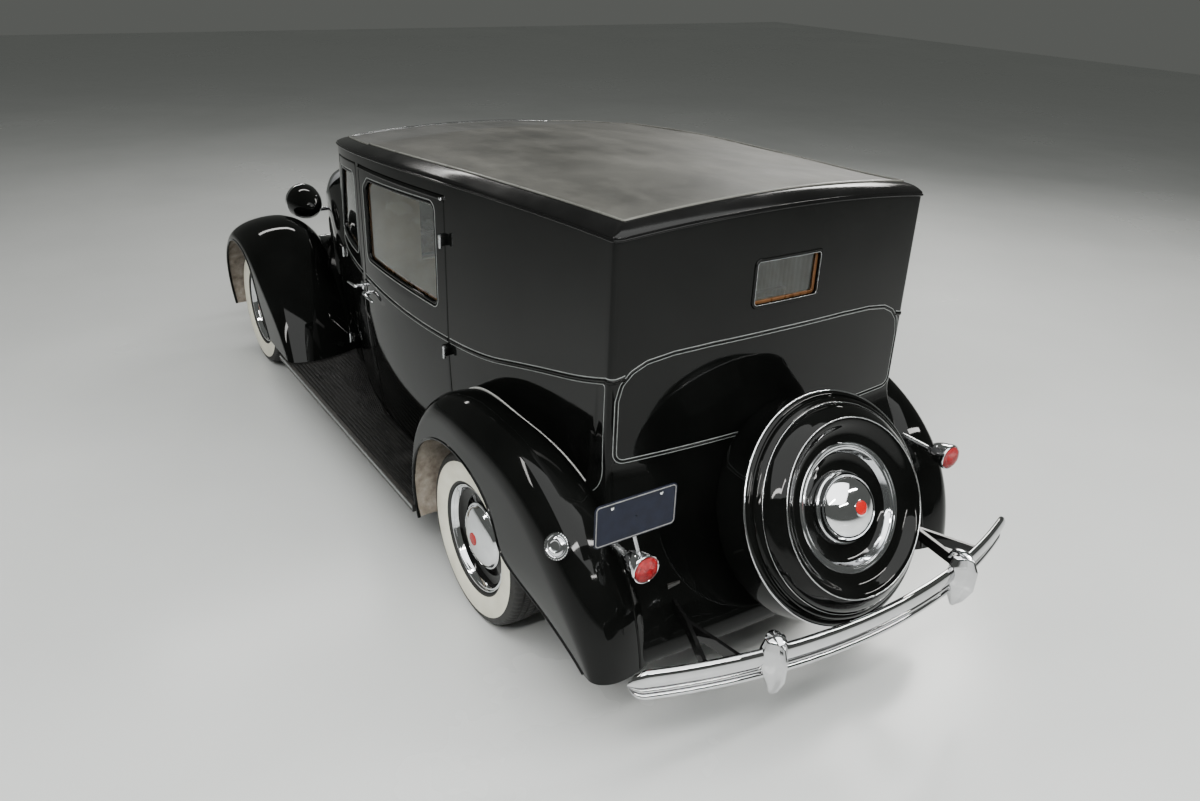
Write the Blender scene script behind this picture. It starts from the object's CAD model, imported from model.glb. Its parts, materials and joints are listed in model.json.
import json
import math

import bpy
import numpy as np
from mathutils import Matrix, Vector

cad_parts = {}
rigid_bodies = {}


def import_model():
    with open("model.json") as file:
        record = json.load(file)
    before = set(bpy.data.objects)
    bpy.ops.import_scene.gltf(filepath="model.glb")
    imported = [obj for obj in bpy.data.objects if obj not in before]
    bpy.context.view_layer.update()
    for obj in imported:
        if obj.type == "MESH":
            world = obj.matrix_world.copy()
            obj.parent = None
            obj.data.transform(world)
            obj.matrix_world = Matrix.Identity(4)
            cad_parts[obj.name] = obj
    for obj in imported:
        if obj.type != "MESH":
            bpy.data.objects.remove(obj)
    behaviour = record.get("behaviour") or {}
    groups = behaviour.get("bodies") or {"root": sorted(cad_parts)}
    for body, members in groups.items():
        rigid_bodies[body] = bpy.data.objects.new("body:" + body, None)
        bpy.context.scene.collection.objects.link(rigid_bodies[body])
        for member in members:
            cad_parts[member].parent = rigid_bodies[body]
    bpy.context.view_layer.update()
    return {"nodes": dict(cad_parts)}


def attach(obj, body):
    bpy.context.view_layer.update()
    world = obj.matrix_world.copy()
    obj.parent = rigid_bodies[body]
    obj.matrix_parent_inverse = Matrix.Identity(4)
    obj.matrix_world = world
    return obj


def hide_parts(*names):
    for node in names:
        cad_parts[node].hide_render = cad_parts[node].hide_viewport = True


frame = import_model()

print("Frame loaded, with", len(frame["nodes"]), "nodes")

# Metres, +X forward, +Y the car's left, +Z up. Lengths in the dictionaries are the real car's.


# Camera, from the photograph's solved view
view = {
    "place": (-4.1624, 2.263, 2.5523),
    "look": (0.74703, -0.50601, -0.43115),
    "roll": 0.0371,
    "lens": 29.01,
}


def setCamera():
    # Right is look x up, turned by the roll about the line of sight
    look = np.array(view["look"])
    right = np.cross(look, (0, 0, 1))
    right /= np.linalg.norm(right)
    up = np.cross(right, look)
    c, s = math.cos(view["roll"]), math.sin(view["roll"])
    right, up = c * right + s * up, c * up - s * right
    data = bpy.data.cameras.new("photoView")
    data.lens = view["lens"]
    data.sensor_width = 36.0
    data.sensor_fit = "HORIZONTAL"
    data.clip_end = 200.0
    camera = bpy.data.objects.new("photoView", data)
    camera.matrix_world = Matrix([
        (right[0], up[0], -look[0], view["place"][0]),
        (right[1], up[1], -look[1], view["place"][1]),
        (right[2], up[2], -look[2], view["place"][2]),
        (0, 0, 0, 1),
    ])
    bpy.context.scene.collection.objects.link(camera)
    bpy.context.scene.camera = camera


setCamera()


# Mesh tools
def putMesh(name, points, quads, triangles=None, sharp=35.0):
    # One mesh object from whole arrays of points, four-corner faces and three-corner faces
    triangles = np.zeros((0, 3), int) if triangles is None else np.asarray(triangles, int)
    quads = np.asarray(quads, int).reshape(-1, 4)
    corners = np.concatenate([quads.ravel(), triangles.ravel()]).astype(np.int32)
    starts = np.concatenate([np.arange(len(quads)) * 4, quads.size + np.arange(len(triangles)) * 3])
    mesh = bpy.data.meshes.new(name)
    mesh.vertices.add(len(points))
    mesh.vertices.foreach_set("co", np.asarray(points, np.float32).ravel())
    mesh.loops.add(len(corners))
    mesh.loops.foreach_set("vertex_index", corners)
    mesh.polygons.add(len(starts))
    mesh.polygons.foreach_set("loop_start", starts.astype(np.int32))
    mesh.update(calc_edges=True)
    mesh.validate()
    mesh.polygons.foreach_set("use_smooth", np.ones(len(mesh.polygons), bool))
    mesh.set_sharp_from_angle(angle=math.radians(sharp))
    piece = bpy.data.objects.new(name, mesh)
    bpy.context.scene.collection.objects.link(piece)
    return piece


def cells(rows, cols, wrapRows=False, wrapCols=False):
    # The four corners of every cell of a grid whose points are numbered row by row
    i = np.arange(rows if wrapRows else rows - 1)[:, None]
    j = np.arange(cols if wrapCols else cols - 1)[None, :]
    below, beside = (i + 1) % rows, (j + 1) % cols
    a, b, c, d = i * cols + j, below * cols + j, below * cols + beside, i * cols + beside
    return np.stack(np.broadcast_arrays(a, b, c, d), -1).reshape(-1, 4)


def gridNormals(grid, wrapCols=False):
    # The unit cross product of the grid's two directions at each point
    across = np.roll(grid, -1, 1) - np.roll(grid, 1, 1) if wrapCols else np.gradient(grid, axis=1)
    normal = np.cross(np.gradient(grid, axis=0), across)
    return normal / np.maximum(np.linalg.norm(normal, axis=-1, keepdims=True), 1e-12)


def outward(points, quads, triangles=None):
    # Faces turned round where the closed shape's signed volume is negative
    points, quads = np.asarray(points), np.asarray(quads)
    a, b, c, d = (points[quads[:, k]] for k in range(4))
    volume = np.einsum("ij,ij->", a, np.cross(b, c)) + np.einsum("ij,ij->", a, np.cross(c, d))
    if triangles is not None and len(triangles):
        e, f, g = (points[np.asarray(triangles)[:, k]] for k in range(3))
        volume += np.einsum("ij,ij->", e, np.cross(f, g))
        triangles = np.asarray(triangles)[:, ::-1] if volume < 0 else triangles
    return (quads[:, ::-1] if volume < 0 else quads), triangles


frontFaces = {}


def sheetPiece(name, grid, thick, side=1.0, wrapCols=False, drop=None, sharp=35.0):
    # A closed sheet: the grid, a copy moved back along the normals, and a rim round every open edge
    rows, cols = grid.shape[:2]
    normal = gridNormals(grid, wrapCols=wrapCols) * side
    depth = np.asarray(thick)
    depth = depth[..., None] if depth.ndim else depth
    points = np.concatenate([grid.reshape(-1, 3), (grid - normal * depth).reshape(-1, 3)])
    count = rows * cols
    face = cells(rows, cols, wrapCols=wrapCols)
    if drop is not None:
        face = face[~drop.ravel()]
    edges = np.concatenate([face[:, [0, 1]], face[:, [1, 2]], face[:, [2, 3]], face[:, [3, 0]]])
    key = edges[:, 0] * count + edges[:, 1]
    rim = edges[~np.isin(key, edges[:, 1] * count + edges[:, 0])]
    wall = np.stack([rim[:, 0], rim[:, 0] + count, rim[:, 1] + count, rim[:, 1]], -1)
    quads = np.concatenate([face, face[:, ::-1] + count, wall])
    frontFaces[name] = len(face)
    return putMesh(name, points, outward(points, quads)[0], sharp=sharp)


def skinPiece(name, grid, thick, core=(-0.5, 0.0, 0.8), drop=None, sharp=35.0):
    # A sheet whose thickness goes towards a point inside the car
    lean = np.sum(gridNormals(grid) * (grid - np.asarray(core)))
    return sheetPiece(name, grid, thick, side=1.0 if lean > 0 else -1.0, drop=drop, sharp=sharp)


def turnedPiece(name, profile, centre, axis, steps=96, wave=None, sharp=35.0):
    # A profile of (along the axis, radius) turned round an axis; ends on the axis close in a fan
    profile = np.asarray(profile, float)
    axis = np.asarray(axis, float) / np.linalg.norm(axis)
    first = np.cross(axis, (0, 0, 1.0))
    first = first if np.linalg.norm(first) > 0.1 else np.cross(axis, (1.0, 0, 0))
    first /= np.linalg.norm(first)
    second = np.cross(axis, first)
    turn = np.linspace(0, 2 * np.pi, steps, endpoint=False)
    poleStart, poleEnd = profile[0, 1] < 1e-9, profile[-1, 1] < 1e-9
    body = profile[(1 if poleStart else 0):(len(profile) - 1 if poleEnd else len(profile))]
    radius = np.repeat(body[:, 1][:, None], steps, 1)
    if wave is not None:
        radius = radius + wave(body[:, 0][:, None], body[:, 1][:, None], turn[None, :])
    ring = np.cos(turn)[:, None] * first + np.sin(turn)[:, None] * second
    grid = np.asarray(centre) + body[:, 0][:, None, None] * axis + radius[..., None] * ring[None]
    rows = len(body)
    points = grid.reshape(-1, 3)
    closed = not (poleStart or poleEnd)
    quads = cells(rows, steps, wrapRows=closed, wrapCols=True)
    triangles = np.zeros((0, 3), int)
    j = np.arange(steps)
    k = (j + 1) % steps
    for pole, row, flip in ((poleStart, 0, False), (poleEnd, rows - 1, True)):
        if pole:
            tip = len(points)
            place = np.asarray(centre) + (profile[0] if row == 0 else profile[-1])[0] * axis
            points = np.concatenate([points, place[None]])
            fan = np.stack([np.full(steps, tip), row * steps + j, row * steps + k], -1)
            triangles = np.concatenate([triangles, fan[:, ::-1] if flip else fan])
    quads, triangles = outward(points, quads, triangles)
    return putMesh(name, points, quads, triangles, sharp=sharp)


def sweptPiece(name, path, profile, up, closed=False, sharp=35.0, scale=None):
    # A closed profile of (across, out) carried along a path; out leans to the up vectors, ends capped by fans
    path = np.asarray(path, float)
    profile = np.asarray(profile, float)
    up = np.broadcast_to(np.asarray(up, float), path.shape)
    ahead = (np.roll(path, -1, 0) - np.roll(path, 1, 0)) if closed else np.gradient(path, axis=0)
    ahead = ahead / np.linalg.norm(ahead, axis=1, keepdims=True)
    across = np.cross(ahead, up)
    across /= np.linalg.norm(across, axis=1, keepdims=True)
    out = np.cross(across, ahead)
    size = np.ones((len(path), 2)) if scale is None else np.asarray(scale, float).reshape(len(path), -1)
    if size.shape[1] == 1:
        size = np.repeat(size, 2, 1)
    grid = (path[:, None] + (profile[None, :, :1] * size[:, None, :1]) * across[:, None]
            + (profile[None, :, 1:] * size[:, None, 1:]) * out[:, None])
    rows, cols = grid.shape[:2]
    points = grid.reshape(-1, 3)
    quads = cells(rows, cols, wrapRows=closed, wrapCols=True)
    triangles = None
    if not closed:
        tips = np.stack([grid[0].mean(0), grid[-1].mean(0)])
        j = np.arange(cols)
        k = (j + 1) % cols
        last = (rows - 1) * cols
        triangles = np.concatenate([
            np.stack([np.full(cols, len(points)), j, k], -1),
            np.stack([np.full(cols, len(points) + 1), last + k, last + j], -1),
        ])
        points = np.concatenate([points, tips])
    quads, triangles = outward(points, quads, triangles)
    return putMesh(name, points, quads, triangles, sharp=sharp)


def circle(radius, steps=12, tall=1.0):
    # Points of a round or oval profile
    a = np.linspace(0, 2 * np.pi, steps, endpoint=False)
    return np.stack([radius * np.cos(a), radius * tall * np.sin(a)], -1)


def conic(a, corner, b, w, t):
    # From a to b, drawn towards the corner: a quadratic whose middle point has the weight w
    weight = (1 - t) ** 2 + 2 * w * t * (1 - t) + t ** 2
    return ((1 - t) ** 2 * a + 2 * w * t * (1 - t) * corner + t ** 2 * b) / weight


def roundedLoop(corners, radius, steps=8):
    # A closed outline of (a, b) corners, each turned by a conic between the tangent points of its radius
    corners = np.asarray(corners, float)
    radius = np.broadcast_to(np.asarray(radius, float), (len(corners),))
    loop = []
    for k, here in enumerate(corners):
        back = corners[k - 1] - here
        on = corners[(k + 1) % len(corners)] - here
        backLength, onLength = np.linalg.norm(back), np.linalg.norm(on)
        back, on = back / backLength, on / onLength
        half = math.acos(np.clip(np.dot(back, on), -1, 1)) / 2
        reach = min(radius[k] / math.tan(half), 0.48 * backLength, 0.48 * onLength)
        t = np.linspace(0, 1, steps + 1)[:, None]
        loop.append(conic(here + back * reach, here, here + on * reach, math.sin(half), t))
    return np.concatenate(loop)


def runAlong(points):
    # The distance along a path at each of its points
    return np.concatenate([[0], np.cumsum(np.linalg.norm(np.diff(points, axis=0), axis=1))])


def evenPath(points, count, endpoint=True):
    # An open path resampled to evenly spaced points
    points = np.asarray(points, float)
    run = runAlong(points)
    at = np.linspace(0, run[-1], count, endpoint=endpoint)
    return np.stack([np.interp(at, run, points[:, k]) for k in range(points.shape[1])], -1)


def evenLoop(loop, count):
    # A closed outline resampled to evenly spaced points
    return evenPath(np.concatenate([loop, loop[:1]]), count, endpoint=False)


def offsetLoop(loop, by):
    # A closed outline moved inwards by a distance, whichever way round it runs
    ahead = np.roll(loop, -1, 0) - np.roll(loop, 1, 0)
    ahead = ahead / np.maximum(np.linalg.norm(ahead, axis=1, keepdims=True), 1e-12)
    area = np.sum(loop[:, 0] * np.roll(loop[:, 1], -1) - np.roll(loop[:, 0], -1) * loop[:, 1])
    inward = np.stack([-ahead[:, 1], ahead[:, 0]], -1) * np.sign(area)
    return loop + inward * by


def smoothPath(points, count):
    # A smooth path through a few points: a Catmull-Rom curve, then evenly spaced
    p = np.asarray(points, float)
    p = np.concatenate([2 * p[:1] - p[1:2], p, 2 * p[-1:] - p[-2:-1]])
    t = np.linspace(0, 1, 24, endpoint=False)[:, None]
    parts = []
    for k in range(len(p) - 3):
        a, b, c, d = p[k:k + 4]
        parts.append(0.5 * (2 * b + (c - a) * t + (2 * a - 5 * b + 4 * c - d) * t ** 2
                            + (3 * b - a - 3 * c + d) * t ** 3))
    return evenPath(np.concatenate(parts + [p[-2:-1]]), count)


def finish(piece, material, body="body", replaced=()):
    # Gives a piece its material and the body that it rides on
    piece.data.materials.clear()
    piece.data.materials.append(material)
    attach(piece, body)
    if replaced:
        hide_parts(*replaced)
    return piece


def meshPoints(mesh):
    # The mesh's points as rows of x, y, z
    points = np.zeros(len(mesh.vertices) * 3, np.float32)
    mesh.vertices.foreach_get("co", points)
    return points.reshape(-1, 3).astype(float)


def movePoints(mesh, points):
    # Writes one row of x, y, z for each vertex back into the mesh
    mesh.vertices.foreach_set("co", points.astype(np.float32).ravel())


def mirrored(piece, name):
    # A copy of a piece on the other side of the car, its faces turned back outwards
    mesh = piece.data.copy()
    mesh.name = name
    movePoints(mesh, meshPoints(mesh) * (1, -1, 1))
    mesh.flip_normals()
    mesh.update()
    twin = bpy.data.objects.new(name, mesh)
    bpy.context.scene.collection.objects.link(twin)
    return twin


def joined(name, pieces):
    # Several pieces made one
    bpy.ops.object.select_all(action="DESELECT")
    for piece in pieces:
        piece.select_set(True)
    bpy.context.view_layer.objects.active = pieces[0]
    bpy.ops.object.join()
    pieces[0].name = name
    pieces[0].data.name = name
    return pieces[0]


# Materials
def newMaterial(name, colour, roughness, metallic=0.0, **fixed):
    # A Principled material with its fixed values set on the shader's own sockets
    material = bpy.data.materials.new(name)
    material.use_nodes = True
    nodes = material.node_tree.nodes
    shader = nodes["Principled BSDF"]
    shader.inputs["Base Color"].default_value = (*colour, 1.0)
    shader.inputs["Roughness"].default_value = roughness
    shader.inputs["Metallic"].default_value = metallic
    for key, value in fixed.items():
        shader.inputs[key.replace("_", " ")].default_value = value
    return material


def nodeOf(material, kind, **values):
    # A node with its inputs set by name
    made = material.node_tree.nodes.new(kind)
    for key, value in values.items():
        key = key.replace("_", " ")
        if key in made.inputs:
            made.inputs[key].default_value = value
        else:
            setattr(made, key.replace(" ", "_"), value)
    return made


def wire(material, source, out, target, into):
    # Joins an output socket of one node to an input of another
    material.node_tree.links.new(source.outputs[out], target.inputs[into])


def shaderOf(material):
    # The Principled BSDF that every material here ends in
    return material.node_tree.nodes["Principled BSDF"]


def placed(material, scale=(1, 1, 1)):
    # Object coordinates through a Mapping node
    coordinates = nodeOf(material, "ShaderNodeTexCoord")
    mapping = nodeOf(material, "ShaderNodeMapping", Scale=scale)
    wire(material, coordinates, "Object", mapping, "Vector")
    return mapping


def noiseOn(material, size, detail=4.0, stretch=(1, 1, 1), roughness=0.55):
    # Noise whose blotches are about size metres
    mapping = placed(material, scale=stretch)
    noise = nodeOf(material, "ShaderNodeTexNoise", Scale=1.0 / size, Detail=detail, Roughness=roughness)
    wire(material, mapping, "Vector", noise, "Vector")
    return noise


def rampOf(material, source, stops):
    # A colour ramp with (place, colour) stops on a source's value
    ramp = nodeOf(material, "ShaderNodeValToRGB")
    line = ramp.color_ramp
    while len(line.elements) < len(stops):
        line.elements.new(0.5)
    for element, (place, colour) in zip(line.elements, stops):
        element.position = place
        element.color = (*colour, 1.0) if len(colour) == 3 else colour
    wire(material, source, "Fac", ramp, "Fac")
    return ramp


def tinted(material, source, stops):
    # The base colour from a ramp over a noise
    wire(material, rampOf(material, source, stops), "Color", shaderOf(material), "Base Color")


def grey(value):
    # One value for red, green and blue
    return (value, value, value)


def roughen(material, source, low, high):
    # Roughness from low to high along a noise
    spread = nodeOf(material, "ShaderNodeMapRange")
    spread.inputs["From Min"].default_value = 0.3
    spread.inputs["From Max"].default_value = 0.7
    spread.inputs["To Min"].default_value = low
    spread.inputs["To Max"].default_value = high
    wire(material, source, "Fac", spread, "Value")
    wire(material, spread, "Result", shaderOf(material), "Roughness")


def bumpOn(material, source, height, strength=1.0, out="Fac", after=None):
    # A bump of some height in metres, on top of another bump where one is given
    bump = nodeOf(material, "ShaderNodeBump", Strength=strength, Distance=height)
    wire(material, source, out, bump, "Height")
    if after:
        wire(material, after, "Normal", bump, "Normal")
    wire(material, bump, "Normal", shaderOf(material), "Normal")
    return bump


def speckled(name, colour, gloss, size, stops, detail=4.0, rough=None, bump=None, roughness=0.55, **fixed):
    # A colour ramp over noise; the roughness follows the same noise, and the bump (size, detail, height,
    # strength) a finer one
    material = newMaterial(name, colour, gloss, **fixed)
    cloud = noiseOn(material, size, detail, roughness=roughness)
    tinted(material, cloud, stops)
    if rough:
        roughen(material, cloud, *rough)
    if bump:
        bumpOn(material, noiseOn(material, bump[0], bump[1]), bump[2], bump[3])
    return material


def lacquer(name, colour, haze=0.05, shine=0.18):
    # Deep gloss enamel: faint long waves, a little dust and polishing haze
    material = newMaterial(name, colour, haze, Specular_IOR_Level=shine)
    dust = noiseOn(material, 0.35, detail=6.0)
    tinted(material, dust, [(0.35, colour), (0.75, tuple(c * 1.6 + 0.0015 for c in colour))])
    roughen(material, dust, haze * 0.7, haze * 2.2)
    bumpOn(material, noiseOn(material, 0.16, detail=1.0), 0.0006, 0.25)
    return material


def plated(name, tint=(0.83, 0.84, 0.86), haze=0.045):
    # Chrome plate with cloudy polish and faint pits
    material = newMaterial(name, tint, haze, metallic=1.0)
    cloud = noiseOn(material, 0.06, detail=5.0)
    tinted(material, cloud, [(0.3, tuple(0.9 * c for c in tint)), (0.6, tint)])
    roughen(material, cloud, haze * 0.6, haze * 2.0)
    bumpOn(material, noiseOn(material, 0.05, detail=2.0), 0.0003, 0.2)
    return material


bodyBlack = lacquer("coachBlack", (0.0022, 0.0024, 0.0022), haze=0.035)
wheelBlack = lacquer("wheelBlack", (0.004, 0.004, 0.004), haze=0.06, shine=0.3)
chrome = plated("chromePlate")
softChrome = plated("softChrome", (0.55, 0.56, 0.57), haze=0.16)
capRed = lacquer("capRed", (0.36, 0.006, 0.006), haze=0.1, shine=0.35)
barChrome = plated("barChrome", (0.58, 0.58, 0.59), haze=0.035)
clothEdge = lacquer("clothEdge", (0.11, 0.11, 0.1), haze=0.2, shine=0.4)

frameBlack = speckled("frameBlack", (0.012, 0.012, 0.012), 0.45, 0.03,
                      [(0.35, grey(0.008)), (0.72, (0.035, 0.031, 0.027))],
                      8.0, (0.3, 0.6), (0.004, 3.0, 0.0004, 0.4))
striping = speckled("stripeSilver", (0.2, 0.21, 0.205), 0.3, 0.02,
                    [(0.3, (0.15, 0.16, 0.158)), (0.7, (0.26, 0.275, 0.27))])


def leathercloth(name, dark, light, scuff):
    # Grained roof cloth: pebbled grain, cloudy fading and pale scuffs drawn out along the roof
    material = newMaterial(name, dark, 0.6, Specular_IOR_Level=0.45)
    cloud = noiseOn(material, 0.45, detail=7.0, roughness=0.62)
    base = rampOf(material, cloud, [(0.3, dark), (0.72, light)])
    streak = noiseOn(material, 0.22, detail=6.0, stretch=(0.45, 1.3, 1), roughness=0.62)
    rub = rampOf(material, streak, [(0.46, grey(0.0)), (0.86, grey(0.85))])
    mix = nodeOf(material, "ShaderNodeMix", data_type="RGBA")
    mix.inputs["B"].default_value = (*scuff, 1.0)
    wire(material, rub, "Color", mix, "Factor")
    wire(material, base, "Color", mix, "A")
    material.node_tree.links.new(mix.outputs["Result"], shaderOf(material).inputs["Base Color"])
    roughen(material, cloud, 0.42, 0.66)
    grain = nodeOf(material, "ShaderNodeTexVoronoi", Scale=420.0)
    wire(material, placed(material), "Vector", grain, "Vector")
    fine = bumpOn(material, grain, 0.0005, 0.45, out="Distance")
    bumpOn(material, noiseOn(material, 0.05, detail=3.0), 0.0015, 0.3, after=fine)
    return material


roofCloth = leathercloth("roofCloth", (0.026, 0.026, 0.023), (0.058, 0.057, 0.05), (0.115, 0.112, 0.1))
frontRoofCloth = leathercloth("frontRoofCloth", (0.034, 0.035, 0.033), (0.066, 0.067, 0.063), (0.1, 0.1, 0.095))
bandBlack = lacquer("bandBlack", (0.004, 0.004, 0.004), haze=0.1, shine=0.2)
print("Materials for the coachwork made")


# Smooth curves through a few measured stations
def throughAll(xs, ys, at):
    # The natural cubic spline through the points, worked out for all the places at once
    xs, ys = np.asarray(xs, float), np.asarray(ys, float)
    order = np.argsort(xs)
    xs, ys = xs[order], ys[order]
    n = len(xs)
    h = np.diff(xs)
    system = np.eye(n)
    right = np.zeros(n)
    for k in range(1, n - 1):
        system[k, k - 1:k + 2] = h[k - 1], 2 * (h[k - 1] + h[k]), h[k]
        right[k] = 6 * ((ys[k + 1] - ys[k]) / h[k] - (ys[k] - ys[k - 1]) / h[k - 1])
    bend = np.linalg.solve(system, right)
    at = np.asarray(at, float)
    k = np.clip(np.searchsorted(xs, at) - 1, 0, n - 2)
    a, b = xs[k + 1] - at, at - xs[k]
    return (bend[k] * a ** 3 + bend[k + 1] * b ** 3) / (6 * h[k]) \
        + (ys[k] / h[k] - bend[k] * h[k] / 6) * a + (ys[k + 1] / h[k] - bend[k + 1] * h[k] / 6) * b


# Cabin form: half width and height of the roof's edge along the car
cabin = {
    "x": (-1.96, -0.83, 0.08, 0.75),
    "half": (0.682, 0.742, 0.755, 0.612),
    "edge": (1.75, 1.706, 1.65, 1.578),
    "rear": -1.88,  # x of the back wall at its corners
    "bow": 0.044,  # how far it bulges at the middle
    "cornerRadius": 0.024,
    "turnUnder": 0.071,  # how far the sides fall in at the sill
    "arch": 0.044,  # rise of the roof's edge across the back
    "wall": 0.034,
    "hingeLine": -0.82,  # where the rear door begins
    "backFoot": 0.985,
    "backHalf": 0.687,
    "waist": 1.1,  # the sides stand upright above it
    "drop": 0.81,
}
backWindow = {"half": 0.146, "low": 1.4625, "high": 1.6195}
halfFit = np.polyfit(cabin["x"], cabin["half"], 3)
edgeFit = np.polyfit(cabin["x"], cabin["edge"], 3)


def halfWidth(x):
    # A cubic through the four measured half widths
    return np.polyval(halfFit, x)


def edgeHeight(x):
    # A cubic through the four measured heights of the roof's edge
    return np.polyval(edgeFit, x)


def tuckAt(z):
    # Upright above the waist; below, the side falls in with the square of the drop
    return cabin["turnUnder"] * (np.maximum(cabin["waist"] - z, 0) / cabin["drop"]) ** 2


def sideWall(x, z, side=1.0, out=0.0):
    # A point on the body's side
    x, z = np.broadcast_arrays(np.asarray(x, float), np.asarray(z, float))
    return np.stack([x, side * (halfWidth(x) - tuckAt(z) + out), z], -1)


def backX(y):
    # The back wall, a shallow arc in plan
    return cabin["rear"] - cabin["bow"] + cabin["bow"] * (y / cabin["backHalf"]) ** 2


def planOutline(inset=0.0, sideSteps=60, backSteps=64, frontX=None):
    # Plan of the rear body from the left door round the back: side curve, corner conic, back arc, and mirrored
    frontX = cabin["hingeLine"] if frontX is None else frontX
    r = max(cabin["cornerRadius"] - inset, 0.004)
    corner = np.array([backX(cabin["half"][0]) + inset, halfWidth(cabin["rear"]) - inset])
    sideX = np.linspace(frontX, corner[0] + r, sideSteps)
    side = np.stack([sideX, halfWidth(sideX) - inset], -1)
    t = np.linspace(0, 1, 12)[1:-1, None]
    edge = backWindow["half"]
    backY = np.linspace(corner[1] - r, edge, backSteps // 4)
    middle = np.linspace(edge, -edge, backSteps // 2 + 1)[1:-1]
    backY = np.concatenate([backY, middle, -backY[::-1]])
    back = np.stack([backX(backY) + inset, backY], -1)
    half = np.concatenate([side, conic(side[-1], corner, back[0], math.sqrt(0.5), t)])
    other = half[::-1] * (1, -1)
    return np.concatenate([half, back, other])


def topEdge(plan):
    # Height of the roof's edge over a plan point: the side's height, arched across the back
    x, y = plan[:, 0], plan[:, 1]
    return edgeHeight(x) + cabin["arch"] * np.maximum(1 - (y / halfWidth(x)) ** 2, 0)


# Rear body: sides and back in one shell with a small back window
def rearShell():
    # Columns stand on the plan outline; each row is a share of the height, with rows on the window's edges
    plan = planOutline()
    ahead = np.gradient(plan, axis=0)
    lean = np.abs(ahead[:, 0]) / np.linalg.norm(ahead, axis=1)
    x = plan[:, 0]
    arch = np.interp(x, (-1.86, -1.66, -1.44, -0.96, -0.84, -0.82), (0.42, 0.62, 0.83, 0.83, 0.62, 0.36))
    low = np.where((lean > 0.5) & (x >= -1.795), arch, cabin["backFoot"])
    high = topEdge(plan)
    parts = []
    for a, b, count in ((low, backWindow["low"], 34), (backWindow["low"], backWindow["high"], 10),
                        (backWindow["high"], high, 10)):
        share = np.linspace(0, 1, count, endpoint=b is high)[:, None]
        parts.append(a + share * (b - a) + 0 * x)
    z = np.concatenate(parts)
    y = plan[:, 1] - np.sign(plan[:, 1]) * tuckAt(z) * lean
    return np.stack([x + 0 * z, y, z], -1)


def windowCells(grid):
    # The cells that the back window leaves out
    middle = (grid[:-1, :-1] + grid[1:, 1:]) / 2
    return ((np.abs(middle[..., 1]) < backWindow["half"]) & (middle[..., 2] > backWindow["low"])
            & (middle[..., 2] < backWindow["high"]) & (middle[..., 0] < -1.85))


grid = rearShell()
rearBody = skinPiece("rearBody", grid, cabin["wall"], core=(-1.2, 0.0, 1.2), drop=windowCells(grid), sharp=40)
finish(rearBody, bodyBlack, replaced=("rear_quarters", "back_panel"))


# Panels on the body's side, in (x, z) outlines
def surfaceNormal(surface, a, b):
    # The outward normal from small steps along both directions
    reach = 1e-4
    da = surface(a + reach, b) - surface(a - reach, b)
    db = surface(a, b + reach) - surface(a, b - reach)
    normal = np.cross(da, db)
    return normal / np.linalg.norm(normal, axis=-1, keepdims=True)


def polarLoop(loop, centre, turns):
    # Where rays from the centre meet a loop
    rel = loop - centre
    angle = np.arctan2(rel[:, 1], rel[:, 0])
    radius = np.linalg.norm(rel, axis=1)
    order = np.argsort(angle)
    angle, radius = angle[order], radius[order]
    angle = np.concatenate([angle[-1:] - 2 * np.pi, angle, angle[:1] + 2 * np.pi])
    radius = np.concatenate([radius[-1:], radius, radius[:1]])
    r = np.interp(turns, angle, radius)
    return centre + r[:, None] * np.stack([np.cos(turns), np.sin(turns)], -1)


def ringPanel(name, outer, inner, surface, thick, side):
    # A panel between two outlines on a surface: loops run from one to the other, both edges rolled back
    rows, edge = 16, doors["edge"]
    outer, inner = evenLoop(outer, 900), evenLoop(inner, 900)
    centre = inner.mean(0)
    pick = np.concatenate([np.arctan2(*(loop - centre)[::6, ::-1].T) for loop in (outer, inner)])
    turns = np.unique(np.round(pick, 5))
    drops = [(edge * s, edge - math.sqrt(edge ** 2 - (edge * (1 - s)) ** 2)) for s in (0, 0.12, 0.35, 0.65, 1.0)]
    loops = [(polarLoop(offsetLoop(outer, d), centre, turns), drop) for d, drop in drops]
    inside = [(polarLoop(offsetLoop(inner, -d), centre, turns), drop) for d, drop in drops]
    a, b = loops[-1][0], inside[-1][0]
    between = [(a + (b - a) * s, 0.0) for s in np.linspace(0, 1, rows)[1:-1]]
    every = loops + between + inside[::-1]
    flat = np.stack([loop for loop, drop in every])
    drop = np.array([drop for loop, drop in every])[:, None]
    points = surface(flat[..., 0], flat[..., 1])
    normal = surfaceNormal(surface, flat[..., 0], flat[..., 1]) * side
    front = points - normal * drop[..., None]
    back = points - normal * thick
    rowCount, cols = flat.shape[:2]
    count = rowCount * cols
    face = cells(rowCount, cols, wrapCols=True)
    j = np.arange(cols)
    k = (j + 1) % cols
    first = np.stack([j, k, k + count, j + count], -1)
    last = np.stack([j, j + count, k + count, k], -1) + (rowCount - 1) * cols
    points = np.concatenate([front.reshape(-1, 3), back.reshape(-1, 3)])
    quads = outward(points, np.concatenate([face, face[:, ::-1] + count, first, last]))[0]
    frontFaces[name] = len(face)
    return putMesh(name, points, quads, sharp=40)


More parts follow.
